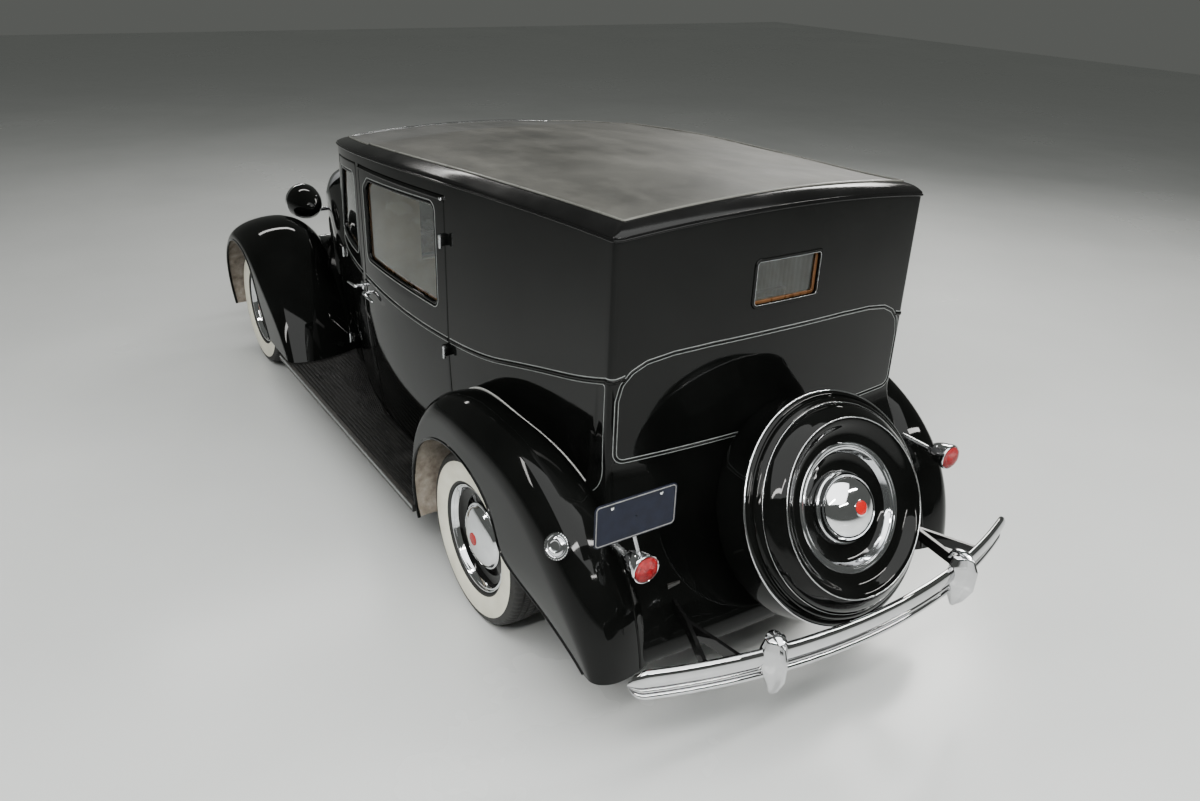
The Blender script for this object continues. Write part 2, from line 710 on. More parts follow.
doors = {
    "rearOutline": ((-0.81, 0.366), (0.063, 0.366), (0.063, 1.602), (-0.81, 1.65)),
    "frontOutline": ((0.115, 0.366), (0.693, 0.366), (0.693, 1.092), (0.523, 1.556), (0.115, 1.598)),
    "rearWindow": ((-0.73, 1.182), (0.005, 1.182), (0.005, 1.515), (-0.06, 1.562), (-0.73, 1.608)),
    "frontWindow": ((0.163, 1.165), (0.635, 1.165), (0.477, 1.512), (0.163, 1.548)),
    "cornerRadius": 0.014,
    "windowRadius": 0.034,
    "thick": 0.034,
    "edge": 0.005,  # how far the edges roll back
}
for side, sign in (("l", 1.0), ("r", -1.0)):
    for place in ("rear", "front"):
        outer = roundedLoop(doors[place + "Outline"], doors["cornerRadius"])
        inner = roundedLoop(doors[place + "Window"], doors["windowRadius"])
        door = ringPanel(f"{place}Door_{side}", outer, inner,
                         lambda a, b, s=sign: sideWall(a, b, s), doors["thick"], -sign)
        finish(door, bodyBlack, f"door_{place}_{side}", replaced=(f"door_{place}_{side}",))
print("Rear body and doors made")


# Fenders: sections that stand round the wheel's axle
fenders = {
    "thick": 0.011,
    "bead": 0.0065,
    "rear": {
        "centre": (-1.2, 0.365),
        "angle": (-12, 30, 70, 105, 140, 165, 181),
        "crown": (0.398, 0.468, 0.6, 0.645, 0.815, 0.938, 0.972),
        "lip": (0.376, 0.43, 0.432, 0.432, 0.432, 0.523, 0.88),
        "inY": (0.69, 0.69, 0.69, 0.67, 0.65, 0.65, 0.65),
        "crownY": (0.85, 0.845, 0.835, 0.822, 0.812, 0.806, 0.79),
        "outY": (0.922, 0.924, 0.926, 0.926, 0.924, 0.914, 0.88),
        "inFall": (0.002, 0.004, 0.012, 0.105, 0.1, 0.06, 0.03),
        "outFall": (0.016, 0.02, 0.09, 0.14, 0.17, 0.15, 0.06),
        "apron": (0.02, 0.02, 0.02, 0.02, 0.02, 0.02, 0.02),
    },
    "front": {
        "centre": (1.848, 0.365),
        "angle": (-14, 20, 60, 95, 130, 158, 181.5),
        "crown": (0.47, 0.486, 0.54, 0.566, 0.6, 0.72, 0.95),
        "lip": (0.438, 0.436, 0.436, 0.436, 0.436, 0.436, 0.54),
        "inY": (0.56, 0.52, 0.43, 0.42, 0.45, 0.5, 0.54),
        "crownY": (0.7, 0.69, 0.672, 0.664, 0.67, 0.72, 0.8),
        "outY": (0.88, 0.905, 0.92, 0.926, 0.928, 0.93, 0.93),
        "inFall": (0.02, 0.06, 0.14, 0.165, 0.15, 0.11, 0.06),
        "outFall": (0.022, 0.04, 0.096, 0.12, 0.12, 0.11, 0.06),
        "apron": (0.02, 0.04, 0.12, 0.15, 0.12, 0.06, 0.02),
    },
}


def fenderGrid(form, angles=None):
    # Each section: a short flat apron, a round arc up to the crown, a quarter oval to the side, then down
    # to the lip; the measures between the stated angles come from a spline
    angle = np.linspace(form["angle"][0], form["angle"][-1], 150) if angles is None else angles
    v = {key: throughAll(form["angle"], form[key], angle)[:, None]
         for key in ("crown", "lip", "inY", "crownY", "outY", "inFall", "outFall", "apron")}
    v["inFall"] = np.maximum(v["inFall"], 0.001)
    side = v["crown"] - v["outFall"]
    foot = v["crown"] - v["inFall"]
    t = np.linspace(0, 1, 5)[None, :-1]
    apronR = foot - 0.12 * v["apron"] * (1 - t)
    apronY = v["inY"] - v["apron"] * (1 - t)
    across = v["crownY"] - v["inY"]
    arcR = (across ** 2 + v["inFall"] ** 2) / (2 * v["inFall"])
    t = np.linspace(0, 1, 23)[None, :-1]
    innerY = v["inY"] + across * t
    innerR = v["crown"] - arcR + np.sqrt(np.maximum(arcR ** 2 - (across * (1 - t)) ** 2, 0))
    t = np.linspace(0, np.pi / 2, 22)[None, :-1]
    outerY = v["crownY"] + (v["outY"] - v["crownY"]) * np.sin(t)
    outerR = side + v["outFall"] * np.cos(t)
    t = np.linspace(0, 1, 12)[None, :]
    lipR = side + (v["lip"] - side) * t
    lipY = v["outY"] + 0 * t
    r = np.concatenate([apronR, innerR, outerR, lipR], 1)
    y = np.concatenate([apronY, innerY, outerY, lipY], 1)
    a = np.radians(angle)[:, None]
    cx, cz = form["centre"]
    return np.stack([cx + r * np.cos(a), y, cz + r * np.sin(a)], -1)


def fenderSkin(place):
    # The left fender's grid; the rear one is notched beside the door's corner, which swings past it
    grid = fenderGrid(fenders[place])
    if place == "rear":
        x, y, z = grid[..., 0], grid[..., 1], grid[..., 2]
        past = np.clip((x + 0.822) / 0.004, 0, 1) * (z > 0.3)
        wall = halfWidth(x) - tuckAt(z) + 0.0125
        grid[..., 1] = np.where(y < wall, y + (wall - y) * past, y)
    return grid


def weltPath(form, start, stop):
    # Where a fender's inner arc meets the body's side, and farther back the tail's edge
    grid = fenderGrid(form, angles=np.linspace(start, stop, 200))
    x, y, z = grid[..., 0], grid[..., 1], grid[..., 2]
    behind = np.clip((-1.855 - x) / 0.05, 0, 1)
    gap = y - ((halfWidth(x) - tuckAt(z)) * (1 - behind) + 0.7015 * behind)
    k = np.clip((gap > 0).argmax(1), 1, None)
    row = np.arange(len(k))
    share = (gap[row, k - 1] / (gap[row, k - 1] - gap[row, k]))[:, None]
    return grid[row, k - 1] + (grid[row, k] - grid[row, k - 1]) * np.clip(share, 0, 1)


for place in ("rear", "front"):
    grid = fenderSkin(place)
    left = skinPiece(place + "Fender_l", grid, fenders["thick"], core=(fenders[place]["centre"][0], 0.82, 0.365))
    bead = sweptPiece(place + "Bead_l", grid[:, -1] - (0, 0.002, 0), circle(fenders["bead"], 10), (0, 1, 0))
    finish(left, bodyBlack, replaced=(place + "_fender_l",))
    finish(bead, bodyBlack)
    finish(mirrored(left, place + "Fender_r"), bodyBlack, replaced=(place + "_fender_r",))
    finish(mirrored(bead, place + "Bead_r"), bodyBlack)
weltGrey = speckled("weltGrey", (0.4, 0.4, 0.38), 0.35, 0.015,
                    [(0.3, (0.26, 0.26, 0.25)), (0.7, (0.52, 0.52, 0.5))], 6.0)
for name, start, stop, material in (("welt", 46, 150.5, weltGrey), ("tailWelt", 151.5, 180.6, bodyBlack)):
    piping = sweptPiece(f"rearFender_{name}_l", weltPath(fenders["rear"], start, stop), circle(0.0052, 10), (0, 1, 0.3))
    finish(piping, material)
    finish(mirrored(piping, f"rearFender_{name}_r"), material)
print("Fenders made")


# Roof: grained cloth over both halves, inside a glossy band with welts
roof = {
    "band": 0.06,
    "joint": 0.062,  # x where the rear roof ends
    "front": 0.64,
    "welt": 0.0045,
    "sag": 0.0012,
}


def roofRise(x):
    # Height of the band's inner edge over its foot
    return np.where(x < 0.064, np.interp(x, (-1.96, -0.83, 0.064), (0.042, 0.042, 0.036)),
                    np.interp(x, (0.064, 0.36, 0.64), (0.03, 0.028, 0.022)))


def roofCrown(x):
    # Height of the middle over the band's inner edge
    return np.where(x < 0.064, np.interp(x, (-1.96, -0.83, 0.064), (0.042, 0.044, 0.03)),
                    np.interp(x, (0.064, 0.36, 0.64), (0.03, 0.028, 0.03)))


def roofTop(x, y):
    # Side height, plus the rise, plus a crown that falls with the square of the distance from the middle
    inside = halfWidth(x) - roof["band"]
    return edgeHeight(x) + roofRise(x) + roofCrown(x) * np.maximum(1 - (y / inside) ** 2, -0.2)


def clothGrid(startX, endX, rows):
    # Rows run forward from a bowed or straight start; the sides follow the band, found in four rounds
    cols = 110
    u = np.linspace(0, 1, rows)[:, None]
    v = np.linspace(-1, 1, cols)[None, :]
    x = np.broadcast_to(np.linspace(-1.85, endX, rows)[:, None], (rows, cols))
    for again in range(4):
        y = v * (halfWidth(x) - roof["band"] + 0.002)
        first = backX(y) + roof["band"] if startX is None else startX + 0 * y
        x = first + u * (endX - first)
    return np.stack([x, y, roofTop(x, y)], -1)


grid = clothGrid(None, roof["joint"], 150)
grid[..., 2] += roof["sag"] * np.sin(grid[..., 0] * 9 + 0.7) * np.sin(grid[..., 1] * 7 + 0.3)
rearRoof = skinPiece("rearRoof", grid, 0.01)
finish(rearRoof, roofCloth, replaced=("roof_rear",))
frontRoof = skinPiece("frontRoof", clothGrid(roof["joint"] + 0.004, roof["front"], 70), 0.01)
finish(frontRoof, frontRoofCloth, replaced=("roof_front",))


def bandGrid():
    # Across the band: a short upright foot, then a slope to the cloth, bulged by a flat arc
    profile = ((0.006, -0.006), (0.0, -0.005), (-0.003, -0.001), (-0.003, 0.006), (0.0, 0.01),
               (0.014, None), (0.028, None), (0.042, None), (0.054, None), (0.06, None), (0.064, -1))
    foot = planOutline(0.0, frontX=roof["joint"])
    low = topEdge(foot)
    inner = planOutline(roof["band"], frontX=roof["joint"])
    high = roofTop(inner[:, 0], inner[:, 1]) + 0.001
    rows = []
    for inset, lift in profile:
        plan = planOutline(inset, frontX=roof["joint"])
        share = np.clip(inset / roof["band"], 0, 1)
        slope = low + 0.01 + (high - low - 0.01) * share + 0.004 * math.sin(math.pi * share)
        z = slope if lift is None else (high - 0.008 if lift == -1 else low + lift)
        rows.append(np.stack([plan[:, 0], plan[:, 1], z], -1))
    return np.stack(rows)


grid = bandGrid()
rearBand = skinPiece("rearRoofBand", grid, 0.003, sharp=50)
finish(rearBand, bandBlack, replaced=("roof_rear",))
welt = sweptPiece("clothWelt", grid[9] + (0, 0, 0.001), circle(roof["welt"], 8), (0, 0, 1))
finish(welt, clothEdge, replaced=("roof_rear",))
plan = planOutline(-0.004, frontX=roof["joint"])
drip = np.concatenate([plan, (topEdge(planOutline(0.0, frontX=roof["joint"])) - 0.003)[:, None]], 1)
bandDrip = sweptPiece("bandDrip", drip, circle(0.0042, 10), (0, 0, 1))
finish(bandDrip, bandBlack, replaced=("roof_rear",))


def frontBand(sign):
    # The same band along the front roof's side, lower and narrower towards the windshield
    x = np.linspace(roof["joint"] + 0.004, roof["front"], 60)
    profile = ((0.006, -0.005), (-0.002, -0.004), (-0.003, 0.004), (0.0, 0.009), (0.02, None), (0.04, None),
               (0.06, None), (0.064, -1))
    rows = []
    for inset, lift in profile:
        y = halfWidth(x) - inset
        low, high = edgeHeight(x), roofTop(x, halfWidth(x) - roof["band"]) + 0.001
        share = np.clip(inset / roof["band"], 0, 1)
        slope = low + 0.009 + (high - low - 0.009) * share + 0.003 * math.sin(math.pi * share)
        z = slope if lift is None else (high - 0.008 if lift == -1 else low + lift)
        rows.append(np.stack([x, sign * y, z], -1))
    return np.stack(rows)


for side, sign in (("l", 1), ("r", -1)):
    grid = frontBand(sign)
    finish(skinPiece(f"frontRoofBand_{side}", grid, 0.003, sharp=50), bandBlack,
           replaced=("roof_front",))
    finish(sweptPiece(f"frontClothWelt_{side}", grid[6] + (0, 0, 0.001), circle(0.004, 8), (0, 0, 1)), clothEdge,
           replaced=("roof_front",))
    x = np.linspace(roof["joint"] + 0.004, roof["front"], 50)
    edge = np.stack([x, sign * (halfWidth(x) + 0.004), edgeHeight(x) - 0.003], -1)
    finish(sweptPiece(f"frontBandDrip_{side}", edge, circle(0.004, 10), (0, 0, 1)), bandBlack,
           replaced=("roof_front",))
y = np.linspace(-1, 1, 70) * halfWidth(roof["front"])
x = np.full(len(y), roof["front"])
z = roofTop(x, np.clip(y, -0.58, 0.58)) - 0.004 - 0.022 * np.clip((np.abs(y) - 0.555) / 0.06, 0, 1)
nosing = np.stack([x, y, z], -1)
finish(sweptPiece("roofNosing", nosing, circle(0.009, 12), (0, 0, 1)), softChrome,
       replaced=("roof_front",))
print("Roof made")


# Tail below the back panel: it falls back, widens towards the fenders and curls under
tail = {
    "path": ((0.0, 0.99), (-0.001, 0.984), (-0.004, 0.96), (-0.022, 0.9), (-0.078, 0.78), (-0.15, 0.64),
             (-0.222, 0.5), (-0.262, 0.42), (-0.272, 0.38), (-0.266, 0.352), (-0.246, 0.34), (-0.2, 0.338)),
}


def fade(share):
    # 3s^2 - 2s^3 between 0 and 1
    share = np.clip(share, 0, 1)
    return share * share * (3 - 2 * share)


def tailGrid():
    # columns go down from the back's plan; a row moves back by the path's reach, faded out along the sides
    path = smoothPath(tail["path"], 90)
    plan = planOutline(0.0005, frontX=-1.77)
    ahead = np.gradient(plan, axis=0)
    lean = (np.abs(ahead[:, 0]) / np.linalg.norm(ahead, axis=1))[None]
    ramp = fade((-1.79 - plan[:, 0]) / 0.065)[None]
    reach, z = path[:, 0][:, None], path[:, 1][:, None] + 0 * ramp
    bulge = 0.014 * np.clip((0.99 - z) / 0.6, 0, 1) * (1 - (plan[:, 1][None] / cabin["backHalf"]) ** 2)
    x = plan[:, 0][None] + reach * ramp + bulge
    down = fade((0.975 - z) / 0.14)
    y = plan[:, 1][None] * (1 + 0.022 * down) - np.sign(plan[:, 1])[None] * tuckAt(z) * lean * (1 - down)
    return np.stack([x, y, z], -1)


def tailPoint(x, wallY, z):
    # a place on the tail's side: x and the wall's y, moved as the tail's columns are
    reach = np.interp(-z, [-p[1] for p in tail["path"][:9]], [p[0] for p in tail["path"][:9]])
    down = fade((0.975 - z) / 0.14)
    y = wallY + (np.abs(halfWidth(x)) * 0.022 * down + tuckAt(z) * down) * np.sign(wallY)
    return np.stack([x + reach * fade((-1.79 - x) / 0.065), y + 0.0006 * np.sign(wallY), z], -1)


finish(skinPiece("tailSkin", tailGrid(), 0.009), bodyBlack, replaced=("tail_panel",))


# Stripes and mouldings, placed by distance round the rear body's plan
stripes = {
    "half": 0.0016,
    "proud": 0.001,
    "beltX": (-1.88, -1.73, -1.51, -1.23, -1.17, -0.83, -0.3, 0.11, 0.4, 0.711),
    "beltZ": (1.292, 1.241, 1.185, 1.118, 1.104, 1.066, 1.066, 1.086, 1.092, 1.094),
    "apart": 0.0105,
    "bead": (0.0075, 0.0045),
    "cornerX": -1.85,
    "panel": ((-0.648, 0.998), (0.648, 0.998), (0.648, 1.215), (0.634, 1.268), (0.6, 1.305), (0.548, 1.331),
              (0.45, 1.346), (0.3, 1.352), (0.0, 1.354), (-0.3, 1.352), (-0.45, 1.346), (-0.548, 1.331),
              (-0.6, 1.305), (-0.634, 1.268), (-0.648, 1.215)),
    "frame": 0.013,
}
stripeProfile = np.array([(-1.0, -0.4), (-1.0, 0.35), (-0.6, 1.0), (0.6, 1.0), (1.0, 0.35), (1.0, -0.4)])
shellPlan = planOutline(0.0, sideSteps=160, backSteps=160)
shellRun = runAlong(shellPlan)
shellRun -= shellRun[-1] / 2
shellAhead = np.gradient(shellPlan, axis=0)
shellAhead /= np.linalg.norm(shellAhead, axis=1, keepdims=True)


def shellPoint(run, z, out=0.0):
    # A point on the rear body and its outward direction, run metres round from the back's middle
    x, y = (np.interp(run, shellRun, shellPlan[:, k]) for k in (0, 1))
    ax, ay = (np.interp(run, shellRun, shellAhead[:, k]) for k in (0, 1))
    normal = np.stack([ay, -ax, 0 * ax], -1)
    normal *= np.sign(np.sum(normal * np.stack([x + 1.2, y, 0 * x], -1), -1, keepdims=True))
    normal /= np.linalg.norm(normal, axis=-1, keepdims=True)
    point = np.stack([x, y - np.sign(y) * tuckAt(z) * np.abs(ax), z + 0 * x], -1)
    return point + normal * out, normal


def runAtSide(x):
    # Distance round the plan of a place on the left side
    half = shellRun < 0
    return np.interp(-np.asarray(x), -shellPlan[half, 0], shellRun[half])


def runAtBack(y):
    # Distance round the plan of a place on the back
    back = shellPlan[:, 0] < -1.878
    return np.interp(-np.asarray(y), -shellPlan[back, 1], shellRun[back])


def stripeOn(name, path, normal, body="body", half=1.0):
    # A thin raised line along a path on the paint
    profile = stripeProfile * (stripes["half"] * half, stripes["proud"])
    finish(sweptPiece(name, path, profile, normal, sharp=60), striping, body)


def beltHeight(x):
    # The belt's height along the side
    return throughAll(stripes["beltX"], stripes["beltZ"], x)


bead = np.array([(math.cos(a), max(math.sin(a), -0.3)) for a in np.linspace(0, 2 * math.pi, 17)[:-1]])
loop = roundedLoop(stripes["panel"], 0.03, 6)
for name, grown, profile, material in (
        ("inner", 0.0, stripeProfile * (stripes["half"], stripes["proud"]), striping),
        ("outer", stripes["frame"], stripeProfile * (stripes["half"], stripes["proud"]), striping),
        ("bead", stripes["frame"] / 2, bead * (0.004, 0.0032), bodyBlack)):
    outline = evenLoop(offsetLoop(loop, -grown), 420)
    path, normal = shellPoint(runAtBack(outline[:, 0]), outline[:, 1])
    line = sweptPiece(f"backPanelLine_{name}", path, profile, normal, closed=True, sharp=60)
    finish(line, material)


def sideLines(side, sign):
    # Belt lines on the quarter: the upper one goes round to the back's frame, the lower one turns down
    reach = runAtSide(np.linspace(-0.823, -1.854, 150))
    corner = np.linspace(reach[-1], runAtBack(0.629), 40)[1:]
    run = np.concatenate([reach, corner])
    x = np.interp(run, shellRun, shellPlan[:, 0])
    risen = beltHeight(-1.854) + 0.016 * np.clip((run - reach[-1]) / 0.085, 0, 1) ** 2
    z = np.where(run <= reach[-1], beltHeight(x), risen)
    upper, normal = shellPoint(run, z + stripes["apart"])
    flip = np.array([1, sign, 1])
    stripeOn(f"beltUpper_{side}", upper * flip, normal * flip, half=1.15)
    middle, normal = shellPoint(run, z)
    moulding = sweptPiece(f"beltBead_{side}", middle * flip, bead * stripes["bead"], normal * flip)
    finish(moulding, bodyBlack)
    cx = stripes["cornerX"]
    zc = float(beltHeight(cx + 0.012)) - stripes["apart"]
    beltX = np.linspace(-0.823, cx + 0.012, 120)
    turn = ((cx + 0.004, zc - 0.002), (cx, zc - 0.01), (cx, zc - 0.06), (cx, 1.1), (cx, 0.985), (cx + 0.006, 0.94),
            (cx + 0.02, 0.9), (cx + 0.038, 0.868))
    line = np.concatenate([np.stack([beltX, beltHeight(beltX) - stripes["apart"]], -1), smoothPath(turn, 90)])
    lower, normal = shellPoint(runAtSide(line[:, 0]), line[:, 1])
    below = line[:, 1] < 0.985
    lower[below] = tailPoint(line[below, 0], lower[below, 1], line[below, 1])
    stripeOn(f"beltLower_{side}", lower * flip, normal * flip)


for side, sign in (("l", 1.0), ("r", -1.0)):
    sideLines(side, sign)
    for span, start, stop, body in (("rearDoor", -0.806, 0.059, f"door_rear_{side}"),
                                    ("frontDoor", 0.119, 0.689, f"door_front_{side}")):
        x = np.linspace(start, stop, 70)
        normal = np.array([0, sign, 0.0]) + 0 * x[:, None]
        for k, off in enumerate((1.0, -1.0)):
            path = sideWall(x, beltHeight(x) + off * stripes["apart"], sign)
            stripeOn(f"beltStripe_{span}_{side}{k}", path, normal, body=body)
        line = sideWall(x, beltHeight(x), sign)
        moulding = sweptPiece(f"beltBead_{span}_{side}", line, bead * stripes["bead"], normal)
        finish(moulding, bodyBlack, body)
print("Tail and belt made")


# Nose: hood, its sides and the cowl share one form
nose = {
    "x": (0.705, 0.93, 1.5, 2.085),
    "half": (0.621, 0.583, 0.43, 0.262),
    "tuck": (0.048, 0.036, 0.016, 0.004),
    "shoulder": (0.9, 0.89, 0.9, 0.93),
    "top": 1.132,
    "foot": 0.36,
    "split": 0.945,
    "sideFoot": 0.64,
    "hoodRear": 0.93,
    "hoodFront": 2.022,
    "louvres": {"count": 26, "start": 1.04, "pitch": 0.034, "foot": 0.77, "top": 0.88, "rise": 0.007},
}
noseKnots = np.array([-1.0, -0.78, -0.55, -0.4, -0.25, 0.0, 0.25, 0.4, 0.55, 0.78, 1.0])


def noseAt(x, t):
    # Half section through foot, middle, shoulder, elbow, crest and top, joined by a spline across the width
    x, t = np.broadcast_arrays(np.asarray(x, float), np.asarray(t, float))
    v = {key: throughAll(nose["x"], nose[key], x) for key in ("half", "tuck", "shoulder")}
    h, top = v["half"], nose["top"]
    crestY, crestZ = 0.56 * h, top - 0.03
    elbowY, elbowZ = 0.9 * h, (v["shoulder"] + crestZ) / 2 + 0.022
    ys = [h - v["tuck"], h - v["tuck"] / 4, h, elbowY, crestY, 0 * h]
    zs = [nose["foot"] + 0 * h, (nose["foot"] + v["shoulder"]) / 2, v["shoulder"], elbowZ, crestZ, top + 0 * h]
    ys = [-y for y in ys] + ys[-2::-1]
    zs = zs + zs[-2::-1]
    y, z = np.zeros(t.shape), np.zeros(t.shape)
    for k in range(len(noseKnots)):
        unit = np.zeros(len(noseKnots))
        unit[k] = 1.0
        weight = throughAll(noseKnots, unit, t)
        y, z = y + weight * ys[k], z + weight * zs[k]
    return np.stack([x, y, z], -1)


def noseShare(x, z):
    # The section place, on the left side, whose height is z
    table = np.linspace(1.0, 0.02, 400)
    heights = noseAt(np.asarray(x)[:, None], table[None, :])[..., 2]
    return table[np.argmax(heights >= np.asarray(z)[:, None] - 1e-6, axis=1)]


def nosePanel(name, x, low, high, thick, sign, push=None):
    # A patch of the nose between two places of its section
    rows = np.linspace(0, 1, 60)[:, None]
    t = low[None, :] + rows * (high - low)[None, :]
    grid = noseAt(np.broadcast_to(x, t.shape), t)
    grid[..., 1] *= sign
    normal = gridNormals(grid)
    normal = normal * np.sign(normal[30, len(x) // 2, 1] * sign + normal[30, len(x) // 2, 2] * 1e-3)
    if push is not None:
        grid = grid + normal * push(grid)[..., None]
    return skinPiece(name, grid, thick, core=(1.4, 0.0, 0.8))


def louvreRise(grid):
    # Upright louvres: each swells forward over its pitch and drops sharply, faded out at both ends
    form = nose["louvres"]
    x, z = grid[..., 0] - form["start"], grid[..., 2]
    phase = (x / form["pitch"]) % 1.0
    inside = np.clip((x + 0.002) / 0.003, 0, 1) * np.clip((form["pitch"] * form["count"] - 0.001 - x) / 0.004, 0, 1)
    ends = np.clip((z - form["foot"]) / 0.014, 0, 1) * np.clip((form["top"] - z) / 0.014, 0, 1)
    swell = np.clip((0.75 - phase) / 0.55, 0, 1) ** 1.5 * np.clip(phase / 0.06, 0, 1)
    return form["rise"] * swell * inside * ends


for side, sign in (("left", 1.0), ("right", -1.0)):
    x = np.linspace(nose["hoodRear"], nose["hoodFront"] - 0.003, 90)
    seam = 0.014 / throughAll(nose["x"], nose["half"], x) * 0.45
    lid = nosePanel(f"hoodLid_{side}", x, noseShare(x, nose["split"] + 0 * x), seam, 0.006, sign)
    finish(lid, bodyBlack, f"hood_{side}", replaced=(f"hood_{side}",))
    x = np.linspace(nose["hoodRear"], nose["hoodFront"] + 0.002, 420)
    panel = nosePanel(f"hoodSide_{side}", x, noseShare(x, nose["sideFoot"] + 0 * x),
                      noseShare(x, nose["split"] - 0.005 + 0 * x), 0.005, sign, louvreRise)
    finish(panel, bodyBlack, replaced=("hood_sides",))
print("Nose made")


# Wheels and tyres, one pair at each corner
wheels = {
    "places": {"fl": (1.848, 0.747, 1), "fr": (1.848, 0.747, -1), "rl": (-1.2, 0.762, 1), "rr": (-1.2, 0.762, -1)},
    "axleZ": 0.365,
    "tyreProfile": (
        (-0.06, 0.229), (-0.074, 0.23), (-0.079, 0.238), (-0.085, 0.252), (-0.091, 0.274), (-0.0935, 0.292),
        (-0.0925, 0.312), (-0.0885, 0.33), (-0.086, 0.34), (-0.0835, 0.348), (-0.076, 0.356), (-0.0665, 0.3605),
        (-0.052, 0.3625), (-0.0505, 0.357), (-0.0435, 0.357), (-0.042, 0.3635), (-0.024, 0.3645), (-0.0225, 0.358),
        (-0.0155, 0.358), (-0.014, 0.3648), (0.014, 0.3648), (0.0155, 0.358), (0.0225, 0.358), (0.024, 0.3645),
        (0.042, 0.3635), (0.0435, 0.357), (0.0505, 0.357), (0.052, 0.3625), (0.0665, 0.3605), (0.076, 0.356),
        (0.0835, 0.348), (0.086, 0.34), (0.087, 0.333), (0.0885, 0.329), (0.0908, 0.3235), (0.0922, 0.315),
        (0.0936, 0.292), (0.0918, 0.272), (0.0868, 0.252), (0.082, 0.24), (0.078, 0.2345), (0.074, 0.23),
        (0.06, 0.229),
    ),
    "discProfile": (
        (-0.062, 0.212), (-0.062, 0.226), (-0.058, 0.2275), (0.06, 0.2275), (0.066, 0.2262), (0.07, 0.2225),
        (0.068, 0.218), (0.06, 0.215), (0.052, 0.212), (0.04, 0.204), (0.034, 0.199), (0.03, 0.19),
        (0.024, 0.178), (0.023, 0.168), (0.027, 0.156), (0.031, 0.144), (0.036, 0.138), (0.036, 0.0245),
        (0.008, 0.0245), (0.008, 0.136), (0.01, 0.168), (0.02, 0.19), (-0.03, 0.198), (-0.05, 0.21),
    ),
    "ringProfile": (
        (0.0665, 0.2268), (0.0712, 0.2262), (0.0735, 0.2236), (0.0728, 0.2205), (0.069, 0.2178), (0.0652, 0.216),
        (0.065, 0.2115), (0.06, 0.2085), (0.054, 0.2055), (0.05, 0.204), (0.049, 0.2052), (0.053, 0.2072),
        (0.0585, 0.2105), (0.063, 0.215), (0.067, 0.22),
    ),
    "capEdge": (
        (0.0385, 0.0), (0.0385, 0.124), (0.037, 0.1375), (0.041, 0.1395), (0.044, 0.138), (0.0452, 0.135),
        (0.044, 0.1318), (0.0455, 0.13),
    ),
    "centreProfile": (
        (0.083, 0.0), (0.083, 0.027), (0.0856, 0.0268), (0.0862, 0.024), (0.0856, 0.0225), (0.0866, 0.019),
        (0.087, 0.0),
    ),
    "clipProfile": ((0.0, 0.0), (0.0, 0.01), (0.004, 0.009), (0.006, 0.005), (0.0065, 0.0)),
}
rubber = speckled("tyreRubber", grey(0.018), 0.62, 0.03, [(0.3, grey(0.013)), (0.75, (0.035, 0.034, 0.032))],
                  8.0, (0.5, 0.75), (0.003, 4.0, 0.0003, 0.4), Specular_IOR_Level=0.4)
whitewall = speckled("creamWall", (0.74, 0.71, 0.6), 0.42, 0.08,
                     [(0.25, (0.79, 0.76, 0.62)), (0.6, (0.89, 0.87, 0.73)), (0.9, (0.92, 0.9, 0.78))],
                     7.0, (0.35, 0.52), (0.004, 3.0, 0.0002, 0.35), Specular_IOR_Level=0.45)


def faceMiddles(piece):
    # The middle of every face
    middle = np.zeros(len(piece.data.polygons) * 3, np.float32)
    piece.data.polygons.foreach_get("center", middle)
    return middle.reshape(-1, 3)


def paintFaces(piece, material, chosen):
    # A second material on the chosen faces
    piece.data.materials.append(material)
    index = np.zeros(len(piece.data.polygons), np.int32)
    index[chosen] = len(piece.data.materials) - 1
    piece.data.polygons.foreach_set("material_index", index)


def treadWave(along, radius, turn):
    # Slanted sipes cut the tread's ribs into blocks
    onTread = (radius > 0.36) & (np.abs(along) < 0.06)
    cut = np.sin(turn * 84 + along * 260) > 0.8
    shoulder = (radius > 0.354) & (np.abs(along) > 0.06) & (np.sin(turn * 84) > 0.55)
    return np.where(onTread & cut, -0.0035, 0.0) + np.where(shoulder, -0.003, 0.0)


